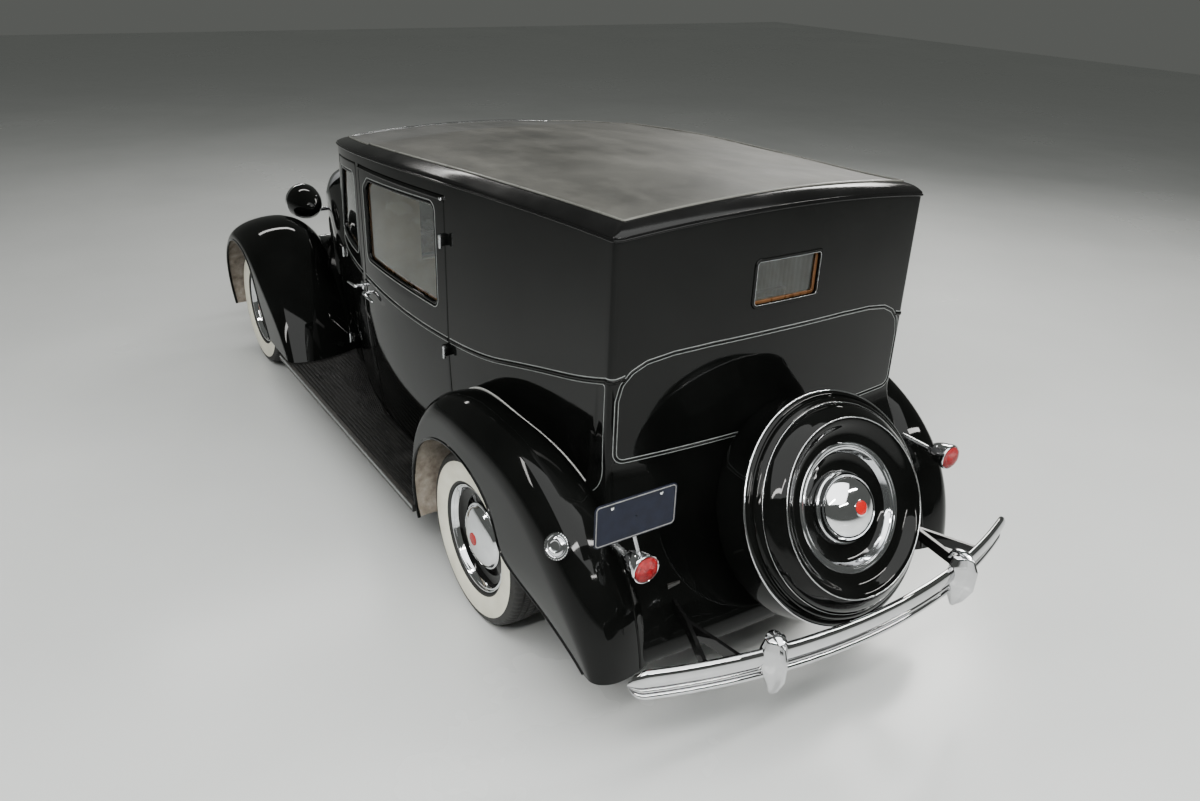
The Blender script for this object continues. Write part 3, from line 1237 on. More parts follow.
def wheelPieces(corner, x, trackY, sign):
    # Tyre, pressed disc, trim ring and domed cap, all turned about the axle
    centre = np.array([x, sign * trackY, wheels["axleZ"]])

    def turned(name, profile, material, node="wheel", steps=160, wave=None, sharp=35.0):
        # A profile of (out from the centre plane, radius) turned about the axle, named by its corner
        piece = turnedPiece(f"{name}_{corner}", profile, centre, (0, sign, 0), steps, wave, sharp)
        return finish(piece, material, f"wheel_{corner}", (f"{node}_{corner}",))

    def onWall(middle):
        # Faces on the outer side whose distance from the axle is within the pale band
        radius = np.hypot(middle[:, 0] - centre[0], middle[:, 2] - centre[2])
        return (sign * (middle[:, 1] - centre[1]) > 0.07) & (radius > 0.2375) & (radius < 0.3262)
    tyre = turned("tyreTurned", wheels["tyreProfile"], rubber, "tyre", 420, treadWave, 32)
    paintFaces(tyre, whitewall, onWall(faceMiddles(tyre)))
    turned("disc", wheels["discProfile"], wheelBlack)
    turned("trimRing", wheels["ringProfile"], chrome)
    dome = [(0.0405 + 0.044 * math.sqrt(1 - (r / 0.1335) ** 2), r) for r in np.linspace(0.126, 0.03, 26)]
    turned("hubCap", [*wheels["capEdge"], *dome, (0.0835, 0.0285), (0.0838, 0.0)], chrome, sharp=50)
    turned("capCentre", wheels["centreProfile"], capRed, steps=64)
    for k in range(3):
        a = math.radians(100 + 120 * k)
        place = centre + (0.176 * math.cos(a), sign * 0.026, 0.176 * math.sin(a))
        clip = turnedPiece(f"capClip_{corner}{k}", wheels["clipProfile"], place, (0, sign, 0), 16)
        finish(clip, chrome, f"wheel_{corner}", (f"wheel_{corner}",))


for corner, (x, trackY, sign) in wheels["places"].items():
    wheelPieces(corner, x, trackY, sign)
print("Wheels made")


# Spare wheel cover on the tail
spare = {
    "centre": (-2.29, 0.0, 0.838),
    "tilt": 27.0,
    "drum": ((-0.185, 0.0), (-0.185, 0.372), (-0.178, 0.385), (-0.16, 0.394), (-0.13, 0.397), (-0.02, 0.397),
             (-0.012, 0.3975), (-0.004, 0.396), (0.002, 0.39), (0.003, 0.384), (0.0, 0.38)),
    # start, middle and end of each step's curve, and its points
    "steps": (
        ((0.002, 0.377), (0.018, 0.372), (0.027, 0.356), 8),
        ((0.0265, 0.353), (0.048, 0.342), (0.076, 0.314), 12),
        ((0.0805, 0.3065), (0.0845, 0.3), (0.082, 0.29), 6),
        ((0.078, 0.283), (0.056, 0.255), (0.05, 0.223), 10),
    ),
    "dish": ((0.05, 0.22), (0.047, 0.217), (0.042, 0.214), (0.033, 0.196), (0.02, 0.178), (0.012, 0.158),
             (0.011, 0.13), (0.011, 0.0)),
    "mount": ((-0.235, 0.0), (-0.235, 0.11), (-0.225, 0.115), (-0.186, 0.115), (-0.184, 0.0)),
    "rings": ((0.04, 0.218), (0.052, 0.2205), (0.0545, 0.2185), (0.054, 0.215), (0.05, 0.2135), (0.05, 0.211),
              (0.0525, 0.2095), (0.0515, 0.206), (0.0465, 0.2045), (0.0465, 0.2015), (0.048, 0.2), (0.0465, 0.1965),
              (0.04, 0.193), (0.032, 0.188), (0.027, 0.185), (0.024, 0.188), (0.03, 0.196)),
    "capEdge": ((0.012, 0.0), (0.012, 0.124), (0.02, 0.1262), (0.026, 0.125), (0.0285, 0.1222), (0.027, 0.1195),
                (0.0285, 0.1178)),
    "capCentre": ((0.1035, 0.0), (0.1035, 0.0245), (0.106, 0.024), (0.107, 0.0215), (0.1062, 0.0195),
                  (0.1075, 0.016), (0.108, 0.0)),
}
tilt = math.radians(spare["tilt"])
spareAxis = np.array([-math.cos(tilt), 0.0, math.sin(tilt)])


def onSpare(name, profile, material, steps=200, sharp=35.0):
    # A piece turned about the spare's axis
    piece = turnedPiece(name, profile, spare["centre"], spareAxis, steps, sharp=sharp)
    finish(piece, material, replaced=("spare_cover",))


steps = [point for *ends, count in spare["steps"] for point in smoothPath(ends, count)]
onSpare("spareDrum", [*spare["drum"], *steps, *spare["dish"]], bodyBlack, sharp=38)
onSpare("spareMount", spare["mount"], frameBlack, 48)
for name, along, radius, size, material in (("spareEdge", -0.01, 0.3985, 0.0042, chrome),
                                            ("spareLip", 0.083, 0.3015, 0.0026, softChrome),
                                            ("spareStep", 0.0275, 0.3555, 0.0016, softChrome)):
    onSpare(name, circle(size, 16) + (along, radius), material)
onSpare("spareRings", spare["rings"], chrome, sharp=28)
dome = [(0.022 + 0.083 * math.sqrt(1 - (r / 0.1195) ** 2), r) for r in np.linspace(0.1165, 0.027, 26)]
onSpare("spareCap", [*spare["capEdge"], *dome, (0.104, 0.0255), (0.1042, 0.0)], chrome, 160, sharp=50)
onSpare("spareCapCentre", spare["capCentre"], capRed, 64)
print("Spare made")


# Bumpers: a triple-ridged bar on a wide arc, with rounded ends and two overriders
bumpers = {
    "z": 0.52,
    "face": 2.549,
    "bow": 2.39,
    "reach": {"rear": 0.9, "front": 0.88},
    "ridges": ((-0.056, -0.033, 0.013), (-0.0295, -0.0125, 0.011), (-0.009, 0.056, 0.02)),  # low, high, depth
    "grooves": (-0.03125, -0.01075),
    "grooveSection": ((-0.0022, -0.018), (0.0022, -0.018), (0.0022, -0.0135), (-0.0022, -0.0135)),
    "riderY": 0.444,
    "riderHalf": 0.049,
    "riderDepth": 0.071,
    # half of the overrider's section, from its back corner to its ridge
    "riderSection": ((-1.0, -0.3), (-1.0, 0.02), (-0.95, 0.1), (-0.6, 0.3), (-0.28, 0.46), (-0.2, 0.56),
                     (-0.14, 0.86), (-0.06, 0.98), (0.0, 1.0)),
}
grooveBlack = speckled("grooveBlack", grey(0.006), 0.35, 0.02, [(0.3, grey(0.004)), (0.7, grey(0.014))])


def barSection():
    # Three half-round ridges over a flat back: a tall one on top, then two low ones
    points = []
    for low, high, depth in bumpers["ridges"]:
        points += [((low + high) / 2 + (high - low) / 2 * math.cos(a), -0.016 + depth * math.sin(a) ** 0.8)
                   for a in np.linspace(np.pi, 0, 15)]
    points += [(0.054, -0.021), (0.048, -0.024), (-0.048, -0.024), (-0.054, -0.021)]
    return np.array(points)


def barPath(end, reach):
    # The arc in plan, its last stretch curling in towards the car
    turn = np.linspace(-1, 1, 160) * math.asin(reach / bumpers["bow"])
    r = bumpers["bow"]
    x = (bumpers["face"] - bumpers["bow"]) + r * np.cos(turn)
    curl = np.clip((np.abs(turn) / turn.max() - 0.955) / 0.045, 0, 1)
    return np.stack([end * (x - 0.02 * curl ** 2), r * np.sin(turn), bumpers["z"] + 0 * x], -1)


def bumperPieces(place, end):
    # Bar, grooves and overriders of one end
    def plate(piece, material):
        # Bright metal over the CAD bumper of this end
        finish(piece, material, replaced=(place + "_bumper",))
    reach = bumpers["reach"][place]
    path = barPath(end, reach)
    middle = np.array([end * (bumpers["face"] - bumpers["bow"]), 0.0, bumpers["z"]])
    away = path - middle
    away[:, 2] = 0
    # rounded ends: the section shrinks as a circle's edge does over the last 5 cm
    tip = np.clip((np.abs(path[:, 1]) - (reach - 0.052)) / 0.0525, 0, 1)
    tip = np.sqrt(np.clip(1 - tip ** 2, 0.02, 1))
    scale = np.stack([tip, 0.35 + 0.65 * tip], -1)
    plate(sweptPiece(place + "Bar", path, barSection(), away, scale=scale, sharp=40), barChrome)
    for k, z in enumerate(bumpers["grooves"]):
        line = path[14:-14] + (0, 0, z)
        plate(sweptPiece(f"{place}Groove{k}", line, bumpers["grooveSection"], away[14:-14]), grooveBlack)
    # overrider: a shield, widest above the bar's middle, pointed below and hooked over the bar on top
    z = np.linspace(0.1, -0.124, 60)
    width = np.interp(z, (-0.124, -0.09, -0.045, -0.015, 0.01, 0.06, 0.092, 0.1),
                      (0.02, 0.26, 0.68, 0.95, 1.0, 0.9, 0.68, 0.3))
    bulge = np.interp(z, (-0.124, -0.09, -0.03, 0.05, 0.09, 0.1), (0.1, 0.55, 0.97, 1.0, 0.72, 0.25))
    half = np.array(bumpers["riderSection"])
    section = np.concatenate([half, half[-2::-1] * (-1, 1)]) * (1, bumpers["riderDepth"])
    angle = math.asin(bumpers["riderY"] / bumpers["bow"])
    for side, sign in (("l", 1), ("r", -1)):
        out = np.array([end * math.cos(angle), sign * math.sin(angle), 0.0])
        root = middle + out * (bumpers["bow"] - 0.006)
        spine = root + np.stack([0 * z, 0 * z, z], -1)
        rider = sweptPiece(f"{place}Rider_{side}", spine, section, out, sharp=45,
                           scale=np.stack([bumpers["riderHalf"] * width, bulge], -1))
        plate(rider, barChrome)
        hook = smoothPath([root + out * along + (0, 0, up) for along, up in
                           ((0.034, 0.092), (0.01, 0.104), (-0.026, 0.098), (-0.04, 0.07))], 16)
        plate(sweptPiece(f"{place}RiderHook_{side}", hook, circle(0.016, 12, 0.5), out * 0.3 + (0, 0, 1)), chrome)


for place, end in (("rear", -1.0), ("front", 1.0)):
    bumperPieces(place, end)
print("Bumpers made")
# Small trim: lamps, plate, filler cap, handles, hinges, rails, mats and window frames
trim = {
    "tailLamp": (-2.192, 0.727, 0.78),
    "headLamp": (2.085, 0.425, 0.95),
    "filler": (-1.921, 0.889, 0.768),
    "fillerAxis": (-0.39, 0.81, 0.44),
    "plate": {"x": -2.196, "y": (0.635, 0.935), "z": (0.928, 1.076), "screws": (0.696, 0.874), "screwZ": 1.056},
    "screw": ((-0.006, 0.0), (-0.006, 0.0034), (0.0, 0.0034), (0.0003, 0.0068), (0.0022, 0.0064), (0.0034, 0.0045),
              (0.0038, 0.0)),
    # pin x and y, the leaves' heights, and which way the door lies from the pin
    "hinges": {"rear": (-0.818, 0.768, (1.48, 1.02), 1.0), "front": (0.705, 0.64, (1.01, 0.52), -1.0)},
    # x of the handle's base, which way the lever points, and the door's skin there
    "handles": {"rear": (0.03, -1.0, 0.751), "front": (0.145, 1.0, 0.748)},
    "handleBase": ((-0.004, 0.0), (-0.004, 0.021), (0.0015, 0.0215), (0.0035, 0.0195), (0.005, 0.014),
                   (0.0065, 0.012), (0.03, 0.009), (0.034, 0.009), (0.035, 0.0)),
    "handleZ": 1.01,
}
redLens = newMaterial("redLens", (0.3, 0.003, 0.006), 0.14, Specular_IOR_Level=0.45)
ribs = nodeOf(redLens, "ShaderNodeTexWave", bands_direction="Z")
ribs.inputs["Scale"].default_value = 95.0
wire(redLens, placed(redLens), "Vector", ribs, "Vector")
tinted(redLens, noiseOn(redLens, 0.012, detail=4.0), [(0.3, (0.16, 0.002, 0.004)), (0.7, (0.4, 0.006, 0.01))])
bumpOn(redLens, ribs, 0.0012, 0.7)
lampGlass = newMaterial("lampGlass", (0.92, 0.94, 0.95), 0.06, Transmission_Weight=0.85, IOR=1.45)
ribs = nodeOf(lampGlass, "ShaderNodeTexWave", bands_direction="Y")
ribs.inputs["Scale"].default_value = 42.0
wire(lampGlass, placed(lampGlass), "Vector", ribs, "Vector")
bumpOn(lampGlass, ribs, 0.002, 0.6)
roughen(lampGlass, noiseOn(lampGlass, 0.03), 0.03, 0.1)
paneGlass = newMaterial("paneGlass", (0.9, 0.95, 0.93), 0.02, Transmission_Weight=1.0, IOR=1.45)
roughen(paneGlass, noiseOn(paneGlass, 0.25, detail=7.0), 0.0, 0.05)
navy = speckled("plateNavy", (0.008, 0.012, 0.03), 0.35, 0.03,
                [(0.3, (0.004, 0.0055, 0.014)), (0.7, (0.007, 0.01, 0.024))], 6.0,
                bump=(0.004, 4.0, 0.0002, 0.3), Specular_IOR_Level=0.2)
paleEdge = speckled("plateBorder", (0.62, 0.62, 0.6), 0.4, 0.02, [(0.3, grey(0.15)), (0.7, grey(0.24))], 6.0)
wood = newMaterial("walnut", (0.1, 0.045, 0.018), 0.28, Specular_IOR_Level=0.5)
grain = noiseOn(wood, 0.05, detail=9.0, stretch=(1.0, 1.0, 0.12), roughness=0.62)
tinted(wood, grain, [(0.25, (0.055, 0.022, 0.009)), (0.5, (0.13, 0.058, 0.022)), (0.75, (0.24, 0.115, 0.045))])
roughen(wood, grain, 0.2, 0.38)
bumpOn(wood, grain, 0.0003, 0.25)
matRubber = speckled("matRubber", grey(0.006), 0.38, 0.09, [(0.3, grey(0.004)), (0.8, (0.014, 0.0135, 0.013))],
                     8.0, (0.34, 0.6), (0.004, 4.0, 0.0003, 0.3), Specular_IOR_Level=0.28)


def softBlock(name, centre, half, power=4.0, steps=28):
    # A superellipsoid: |x/a|^n + |y/b|^n + |z/c|^n = 1; the poles close in fans
    a = np.linspace(-np.pi / 2, np.pi / 2, steps + 1)[1:-1, None]
    b = np.linspace(0, 2 * np.pi, 2 * steps, endpoint=False)[None, :]
    e = 2.0 / power
    bend = lambda v: np.sign(v) * np.abs(v) ** e
    x = bend(np.cos(a)) * bend(np.cos(b)) * half[0]
    y = bend(np.cos(a)) * bend(np.sin(b)) * half[1]
    z = bend(np.sin(a)) * half[2] + 0 * b
    grid = np.stack([x, y, z], -1)
    rows, cols = grid.shape[:2]
    points = np.concatenate([grid.reshape(-1, 3), [(0, 0, -half[2]), (0, 0, half[2])]]) + np.asarray(centre)
    j = np.arange(cols)
    k = (j + 1) % cols
    last = (rows - 1) * cols
    triangles = np.concatenate([np.stack([np.full(cols, rows * cols), k, j], -1),
                                np.stack([np.full(cols, rows * cols + 1), last + j, last + k], -1)])
    quads, triangles = outward(points, cells(rows, cols, wrapCols=True), triangles)
    return putMesh(name, points, quads, triangles, sharp=50)


def rodPiece(name, points, radius, up=(0, 0, 1.0)):
    # A round bar along a smooth path
    return sweptPiece(name, smoothPath(points, 24), circle(radius, 16), up, sharp=50)


def bothSides(piece, material, body="body", replaced=()):
    # Finish the left piece and its mirror image, which rides on the right-hand body where the left one has its own
    finish(piece, material, body, replaced)
    twin = mirrored(piece, piece.name[:-1] + "r")
    finish(twin, material, body[:-1] + "r" if body.endswith("_l") else body, replaced)


# Tail lamps
lens = np.array(trim["tailLamp"])
bullet = [(-0.11, 0.0), (-0.1085, 0.0085), (-0.103, 0.015), (-0.092, 0.0235), (-0.076, 0.0335), (-0.055, 0.0415),
          (-0.034, 0.0465), (-0.021, 0.048), (-0.0205, 0.0495), (-0.018, 0.0505), (-0.008, 0.0505), (-0.004, 0.049),
          (-0.003, 0.0465), (-0.005, 0.044), (-0.009, 0.0435), (-0.01, 0.0)]
bothSides(turnedPiece("tailBullet_l", bullet, lens, (-1, 0, 0), 96), chrome, replaced=("tail_lamps",))
face = [(-0.0095, 0.0), (-0.0095, 0.0425), (-0.004, 0.043), (-0.001, 0.042), (0.003, 0.0385), (0.006, 0.0335),
        (0.0065, 0.0325), (0.0095, 0.026), (0.01, 0.025), (0.0125, 0.015), (0.013, 0.0142), (0.014, 0.0)]
ripple = lambda along, radius, turn: 0.0005 * np.cos(24 * turn) * (radius > 0.012) * (along > -0.003)
bothSides(turnedPiece("tailLens_l", face, lens, (-1, 0, 0), 96, ripple, sharp=30), redLens,
          replaced=("tail_lamps",))
arm = rodPiece("tailArm_l", [lens + (x, 0, -0.01) for x in (0.066, 0.15, 0.24)], 0.0125, up=(0, 1, 0))
bothSides(arm, softChrome, replaced=("tail_lamps",))
stay = rodPiece("plateStay", (lens + (0.03, 0.01, 0.036), lens + (0.022, 0.034, 0.102), (-2.181, 0.785, 0.95)),
                0.0075)
finish(stay, softChrome, replaced=("tail_lamps",))
finish(softBlock("plateBlock", (-2.1845, 0.785, 0.951), (0.0082, 0.021, 0.0155)), frameBlack,
       replaced=("tail_lamps",))

# Blank plate with a pale border and two screws
p = trim["plate"]
corners = [(p["y"][0], p["z"][0]), (p["y"][1], p["z"][0]), (p["y"][1], p["z"][1]), (p["y"][0], p["z"][1])]
outline = evenLoop(roundedLoop(corners, 0.018, 8), 240)
centre = outline.mean(0)
rows = [centre + (outline - centre) * s for s in (0.02, 0.4, 0.8)]
rows += [offsetLoop(outline, by) for by in (0.0102, 0.0095, 0.0035, 0.0028, 0.0008, 0.0)]
rise = np.array([0, 0, 0, 0, 0.001, 0.001, 0.0, 0.0, -0.0008])[:, None]
grid = np.stack([np.stack([p["x"] - rise[k] + 0 * row[:, 0], *row.T], -1) for k, row in enumerate(rows)])
plate = sheetPiece("plateBlank", grid, 0.0016, side=-1.0, wrapCols=True, sharp=50)
finish(plate, navy, replaced=("licence_plate",))
border = offsetLoop(outline, 0.0065)
path = np.stack([p["x"] - 0.0014 + 0 * border[:, 0], *border.T], -1)
finish(sweptPiece("plateBorder", path, stripeProfile * (0.0018, 0.0009), (-1, 0, 0), closed=True, sharp=60), paleEdge,
       replaced=("licence_plate",))
for k, y in enumerate(p["screws"]):
    screw = turnedPiece(f"plateScrew{k}", trim["screw"], (p["x"] - 0.0006, y, p["screwZ"]), (-1, 0, 0), 24)
    finish(screw, chrome, replaced=("licence_plate",))

# Headlamps: black bullets with chrome rims
head = np.array(trim["headLamp"])
bullet = [(-0.235, 0.0), (-0.2335, 0.012), (-0.228, 0.023), (-0.214, 0.039), (-0.19, 0.056), (-0.16, 0.0735),
          (-0.12, 0.09), (-0.08, 0.101), (-0.045, 0.1075), (-0.026, 0.109), (-0.024, 0.0)]
bothSides(turnedPiece("lampShell_l", bullet, head, (1, 0, 0), 112), bodyBlack,
          replaced=("headlamps",))
rim = [(-0.0245, 0.1), (-0.0255, 0.1085), (-0.022, 0.1105), (-0.01, 0.1115), (0.0, 0.1105), (0.0035, 0.107),
       (0.0035, 0.102), (0.001, 0.0995), (-0.004, 0.099), (-0.01, 0.1)]
bothSides(turnedPiece("lampRim_l", rim, head, (1, 0, 0), 112), chrome, replaced=("headlamps",))
face = [(-0.0235, 0.0), (-0.0235, 0.0985), (-0.003, 0.099), (0.004, 0.088), (0.011, 0.07), (0.0165, 0.045),
        (0.0205, 0.02), (0.0215, 0.0)]
bothSides(turnedPiece("lampLens_l", face, head, (1, 0, 0), 112), lampGlass,
          replaced=("headlamps",))
bar = [(2.049, y, z) for y, z in ((0.272, 0.89), (0.33, 0.89), (0.372, 0.893), (0.395, 0.905))]
bothSides(rodPiece("lampBar_l", bar, 0.0135, up=(1, 0, 0)), chrome, replaced=("headlamps",))

# Fuel filler cap on the left rear fender
cap = [(-0.014, 0.0), (-0.014, 0.034), (-0.004, 0.04), (0.001, 0.0435), (0.004, 0.0445), (0.01, 0.0445),
       (0.0125, 0.0425), (0.013, 0.037), (0.0115, 0.0345), (0.0115, 0.032), (0.0125, 0.03), (0.018, 0.029),
       (0.0198, 0.0265), (0.0205, 0.02), (0.019, 0.0175), (0.0205, 0.012), (0.0212, 0.0)]
knurl = lambda along, radius, turn: 0.001 * np.cos(30 * turn) * (radius > 0.043)
finish(turnedPiece("fillerCap", cap, trim["filler"], trim["fillerAxis"], 180, knurl, sharp=30), chrome,
       replaced=("rear_fender_l",))

# Hinges and handles ride on the doors
for place, (pinX, pinY, heights, back) in trim["hinges"].items():
    for k, z in enumerate(heights):
        wallY = float(halfWidth(pinX + back * 0.02) - tuckAt(z))
        middle = (pinX + back * 0.017, (wallY + pinY) / 2 - 0.003, z)
        half = (0.021, max((pinY - wallY) / 2, 0.008), 0.0215)
        leaf = softBlock(f"hingeLeaf_{place}{k}_l", middle, half, power=5.0)
        bothSides(leaf, bodyBlack, f"door_{place}_l")
        ends = [(pinX, pinY, z + rise) for rise in (-0.026, 0.0, 0.026)]
        bothSides(rodPiece(f"hingePin_{place}{k}_l", ends, 0.0068, up=(1, 0, 0)), softChrome, f"door_{place}_l")
for place, (x, along, skin) in trim["handles"].items():
    z = trim["handleZ"]
    base = turnedPiece(f"handleBase_{place}_l", trim["handleBase"], (x, skin - 0.001, z), (0, 1, 0), 48)
    bothSides(base, chrome, f"door_{place}_l")
    run = np.linspace(-0.012, 0.112, 40)
    path = np.stack([x + along * run, skin + 0.034 + 0.003 * np.sin(run / 0.11 * np.pi),
                     z - 0.01 * np.clip(run / 0.11, 0, 1) ** 2], -1)
    thick = np.interp(run, (-0.012, -0.008, 0.0, 0.05, 0.1, 0.108, 0.112), (0.35, 0.85, 1.15, 0.85, 0.75, 0.55, 0.2))
    lever = sweptPiece(f"handleLever_{place}_l", path, circle(0.0085, 14, 0.8), (0, 0, 1), sharp=50, scale=thick)
    bothSides(lever, chrome, f"door_{place}_l")

# Drip rail over the rear door and bright lines round the window openings
x = np.linspace(-0.8, 0.052, 60)
rail = sideWall(x, np.interp(x, (-0.8, 0.055), (1.6395, 1.594)), 1.0, 0.004)
gutter = sweptPiece("dripRail_l", rail, circle(0.0062, 10, 0.8), (0, 1, 0))
bothSides(gutter, bodyBlack, "door_rear_l")
tip = softBlock("dripTip_l", rail[0] + (0.004, 0.002, 0), (0.012, 0.0055, 0.0065), power=3.0, steps=12)
bothSides(tip, chrome, "door_rear_l")
for place, window in (("rear", "rearWindow"), ("front", "frontWindow")):
    outline = evenLoop(roundedLoop(doors[window], doors["windowRadius"], 8), 420)
    for name, by, out, half, material in (("line", -0.0075, 0.0006, 1.0, striping),
                                          ("frame", 0.006, -0.006, 3.4, bodyBlack),
                                          ("wood", 0.013, -0.026, 5.0, wood)):
        loop = offsetLoop(outline, by)
        path = sideWall(loop[:, 0], loop[:, 1], 1.0, out)
        profile = stripeProfile * (stripes["half"] * half, stripes["proud"] * (1.0 if name == "line" else 4.0))
        piece = sweptPiece(f"window_{name}_{place}_l", path, profile, (0, 1, 0), closed=True, sharp=60)
        bothSides(piece, material, f"door_{place}_l")

# Back window: black moulding outside, wood inside
w = backWindow
corners = [(-w["half"], w["low"]), (w["half"], w["low"]), (w["half"], w["high"]), (-w["half"], w["high"])]
for name, by, out, half, proud, material in (("Moulding", -0.0035, 0.0005, 0.0058, 0.0046, bodyBlack),
                                              ("Inner", 0.006, -0.02, 0.0065, 0.006, wood),
                                              ("Line", 0.003, 0.001, 0.0012, 0.002, softChrome)):
    loop = evenLoop(offsetLoop(evenLoop(roundedLoop(corners, 0.016, 8), 300), by), 300)
    path, normal = shellPoint(runAtBack(loop[:, 0]), loop[:, 1], out)
    moulding = sweptPiece("backWindow" + name, path, stripeProfile * (half, proud), normal, closed=True, sharp=50)
    finish(moulding, material)

# Running boards: ribbed rubber mats with a metal edge
boards = {
    "x": (-0.798, 0.08, 0.7, 1.1),
    "inner": (0.676, 0.69, 0.556, 0.5),
    "outer": 0.918,
    "ribPitch": 0.02,
    "ribRise": 0.0046,
    "top": 0.3362,
    "edge": (0.9335, 0.3225),  # y and z of the metal edge
}
x = np.linspace(-0.79, 1.04, 40)[:, None]
inner, outer = np.interp(x, boards["x"], boards["inner"]) + 0.006, boards["outer"]
y = inner + (outer - inner) * np.linspace(0, 1, 190)[None, :]
phase = ((outer - y) / boards["ribPitch"]) % 1.0
rib = np.clip(np.minimum(phase, 1 - phase) / 0.2, 0, 1)
edge = np.clip((outer - y) / 0.006, 0, 1) * np.clip((y - inner) / 0.006, 0, 1)
grid = np.stack([x + 0 * y, y, boards["top"] + boards["ribRise"] * rib * edge], -1)
mat = sheetPiece("boardMat_l", grid, 0.004, sharp=25)
bothSides(mat, matRubber)
x = np.linspace(-0.796, 1.096, 50)
edge = np.stack([x, boards["edge"][0] + 0 * x, boards["edge"][1] + 0 * x], -1)
bothSides(sweptPiece("boardEdge_l", edge, circle(0.0035, 12, 1.4), (0, 0, 1)), striping)
print("Trim made")
# Materials for the CAD nodes that stay, and for the soft goods
def mottled(name, dark, light, size, rough, fine=0.004, relief=0.0004, strength=0.35, **fixed):
    # Two colours over noise, with a fine bump
    return speckled(name, light, rough[0], size, [(0.3, dark), (0.72, light)], 8.0, rough,
                    (fine, 3.0, relief, strength), 0.6, **fixed)


def woven(name, dark, light):
    # Two crossed waves make the weave; slow noise fades its colour
    pitch = 0.0022
    material = newMaterial(name, light, 0.85, Sheen_Weight=0.35, Sheen_Roughness=0.5, Specular_IOR_Level=0.25)
    cloud = noiseOn(material, 0.12, detail=6.0)
    base = rampOf(material, cloud, [(0.3, dark), (0.7, light)])
    first = nodeOf(material, "ShaderNodeTexWave", bands_direction="Y")
    second = nodeOf(material, "ShaderNodeTexWave", bands_direction="Z")
    for thread in (first, second):
        thread.inputs["Scale"].default_value = 0.32 / pitch
        thread.inputs["Distortion"].default_value = 0.6
        wire(material, placed(material), "Vector", thread, "Vector")
    weave = nodeOf(material, "ShaderNodeMath", operation="MULTIPLY")
    material.node_tree.links.new(first.outputs["Fac"], weave.inputs[0])
    material.node_tree.links.new(second.outputs["Fac"], weave.inputs[1])
    mix = nodeOf(material, "ShaderNodeMix", data_type="RGBA")
    mix.blend_type = "MULTIPLY"
    mix.inputs["B"].default_value = (0.72, 0.7, 0.66, 1.0)
    wire(material, weave, "Value", mix, "Factor")
    wire(material, base, "Color", mix, "A")
    material.node_tree.links.new(mix.outputs["Result"], shaderOf(material).inputs["Base Color"])
    roughen(material, cloud, 0.75, 0.95)
    fine = bumpOn(material, weave, 0.0004, 0.5, out="Value")
    bumpOn(material, noiseOn(material, 0.05), 0.001, 0.25, after=fine)
    return material


tanCloth = woven("tanCloth", (0.36, 0.27, 0.17), (0.52, 0.42, 0.29))
blackLeather = mottled("blackLeather", (0.01, 0.009, 0.008), (0.028, 0.025, 0.022), 0.06, (0.3, 0.5), 0.0035, 0.0005,
                       0.5, Specular_IOR_Level=0.5)
dashBrown = mottled("dashBrown", (0.05, 0.026, 0.014), (0.12, 0.066, 0.036), 0.04, (0.22, 0.4), 0.01)
undercoat = mottled("undercoatTan", (0.16, 0.13, 0.1), (0.46, 0.41, 0.35), 0.05, (0.7, 0.95), 0.006, 0.002, 0.8)
engineGrey = mottled("engineGrey", (0.08, 0.085, 0.085), (0.17, 0.18, 0.18), 0.08, (0.35, 0.6), 0.005, 0.0008)
dullSteel = mottled("dullSteel", (0.13, 0.115, 0.1), (0.3, 0.28, 0.26), 0.05, (0.35, 0.6), 0.003, Metallic=0.9)
floorDark = mottled("floorDark", (0.01, 0.009, 0.008), (0.03, 0.027, 0.024), 0.12, (0.7, 0.9), 0.003, 0.0008)
grilleBars = plated("grilleBars", (0.7, 0.71, 0.73), haze=0.1)
kept = {
    "chassis_frame": frameBlack, "floor_pan": floorDark, "engine_block": engineGrey,
    "cowl": bodyBlack, "windshield_frame": bodyBlack, "fixed_glass": paneGlass,
    "running_boards": frameBlack, "wheelhouse_l": undercoat, "wheelhouse_r": undercoat, "side_frames": bodyBlack,
    "division": tanCloth, "dashboard": dashBrown, "rear_axle": frameBlack, "front_suspension": frameBlack,
    "exhaust": dullSteel, "fuel_tank": frameBlack, "bumper_irons": wheelBlack, "knuckle_fl": frameBlack,
    "knuckle_fr": frameBlack, "glass_rear_l": paneGlass, "glass_rear_r": paneGlass, "glass_front_l": paneGlass,
    "glass_front_r": paneGlass,
}
for node, material in kept.items():
    for slot in frame["nodes"][node].material_slots:
        slot.material = material


# Windshield: a bright line round its opening, posts beside it and the cowl's corners under it
windshield = {
    "foot": (0.735, 0.0, 1.095),
    "lean": (0.14, 0.497),  # back and up
    "opening": ((-0.534, 0.076), (0.534, 0.076), (0.554, 0.456), (-0.554, 0.456)),
    "line": (0.005, 0.0035),
    # low and high along the lean; the inner and outer edges' half widths at both
    "corners": (("windshieldPost", -0.01, 0.5, (0.56, 0.58), (0.6, 0.616)),
                ("cowlCorner", -0.19, 0.012, (0.3, 0.3), (0.602, 0.602))),
    "thick": 0.008,
}
tilt = math.atan2(*windshield["lean"])
up = np.array([-math.sin(tilt), 0.0, math.cos(tilt)])
ahead = np.array([math.cos(tilt), 0.0, math.sin(tilt)])
foot = np.array(windshield["foot"])
pane = evenLoop(roundedLoop(windshield["opening"], 0.02, 8), 400)
pane = evenLoop(offsetLoop(pane, -0.006), 400)
rim = foot + pane[:, :1] * (0, 1, 0) + pane[:, 1:] * up + ahead * 0.0005
line = sweptPiece("windshieldLine", rim, stripeProfile * windshield["line"], ahead, closed=True, sharp=60)
finish(line, chrome)
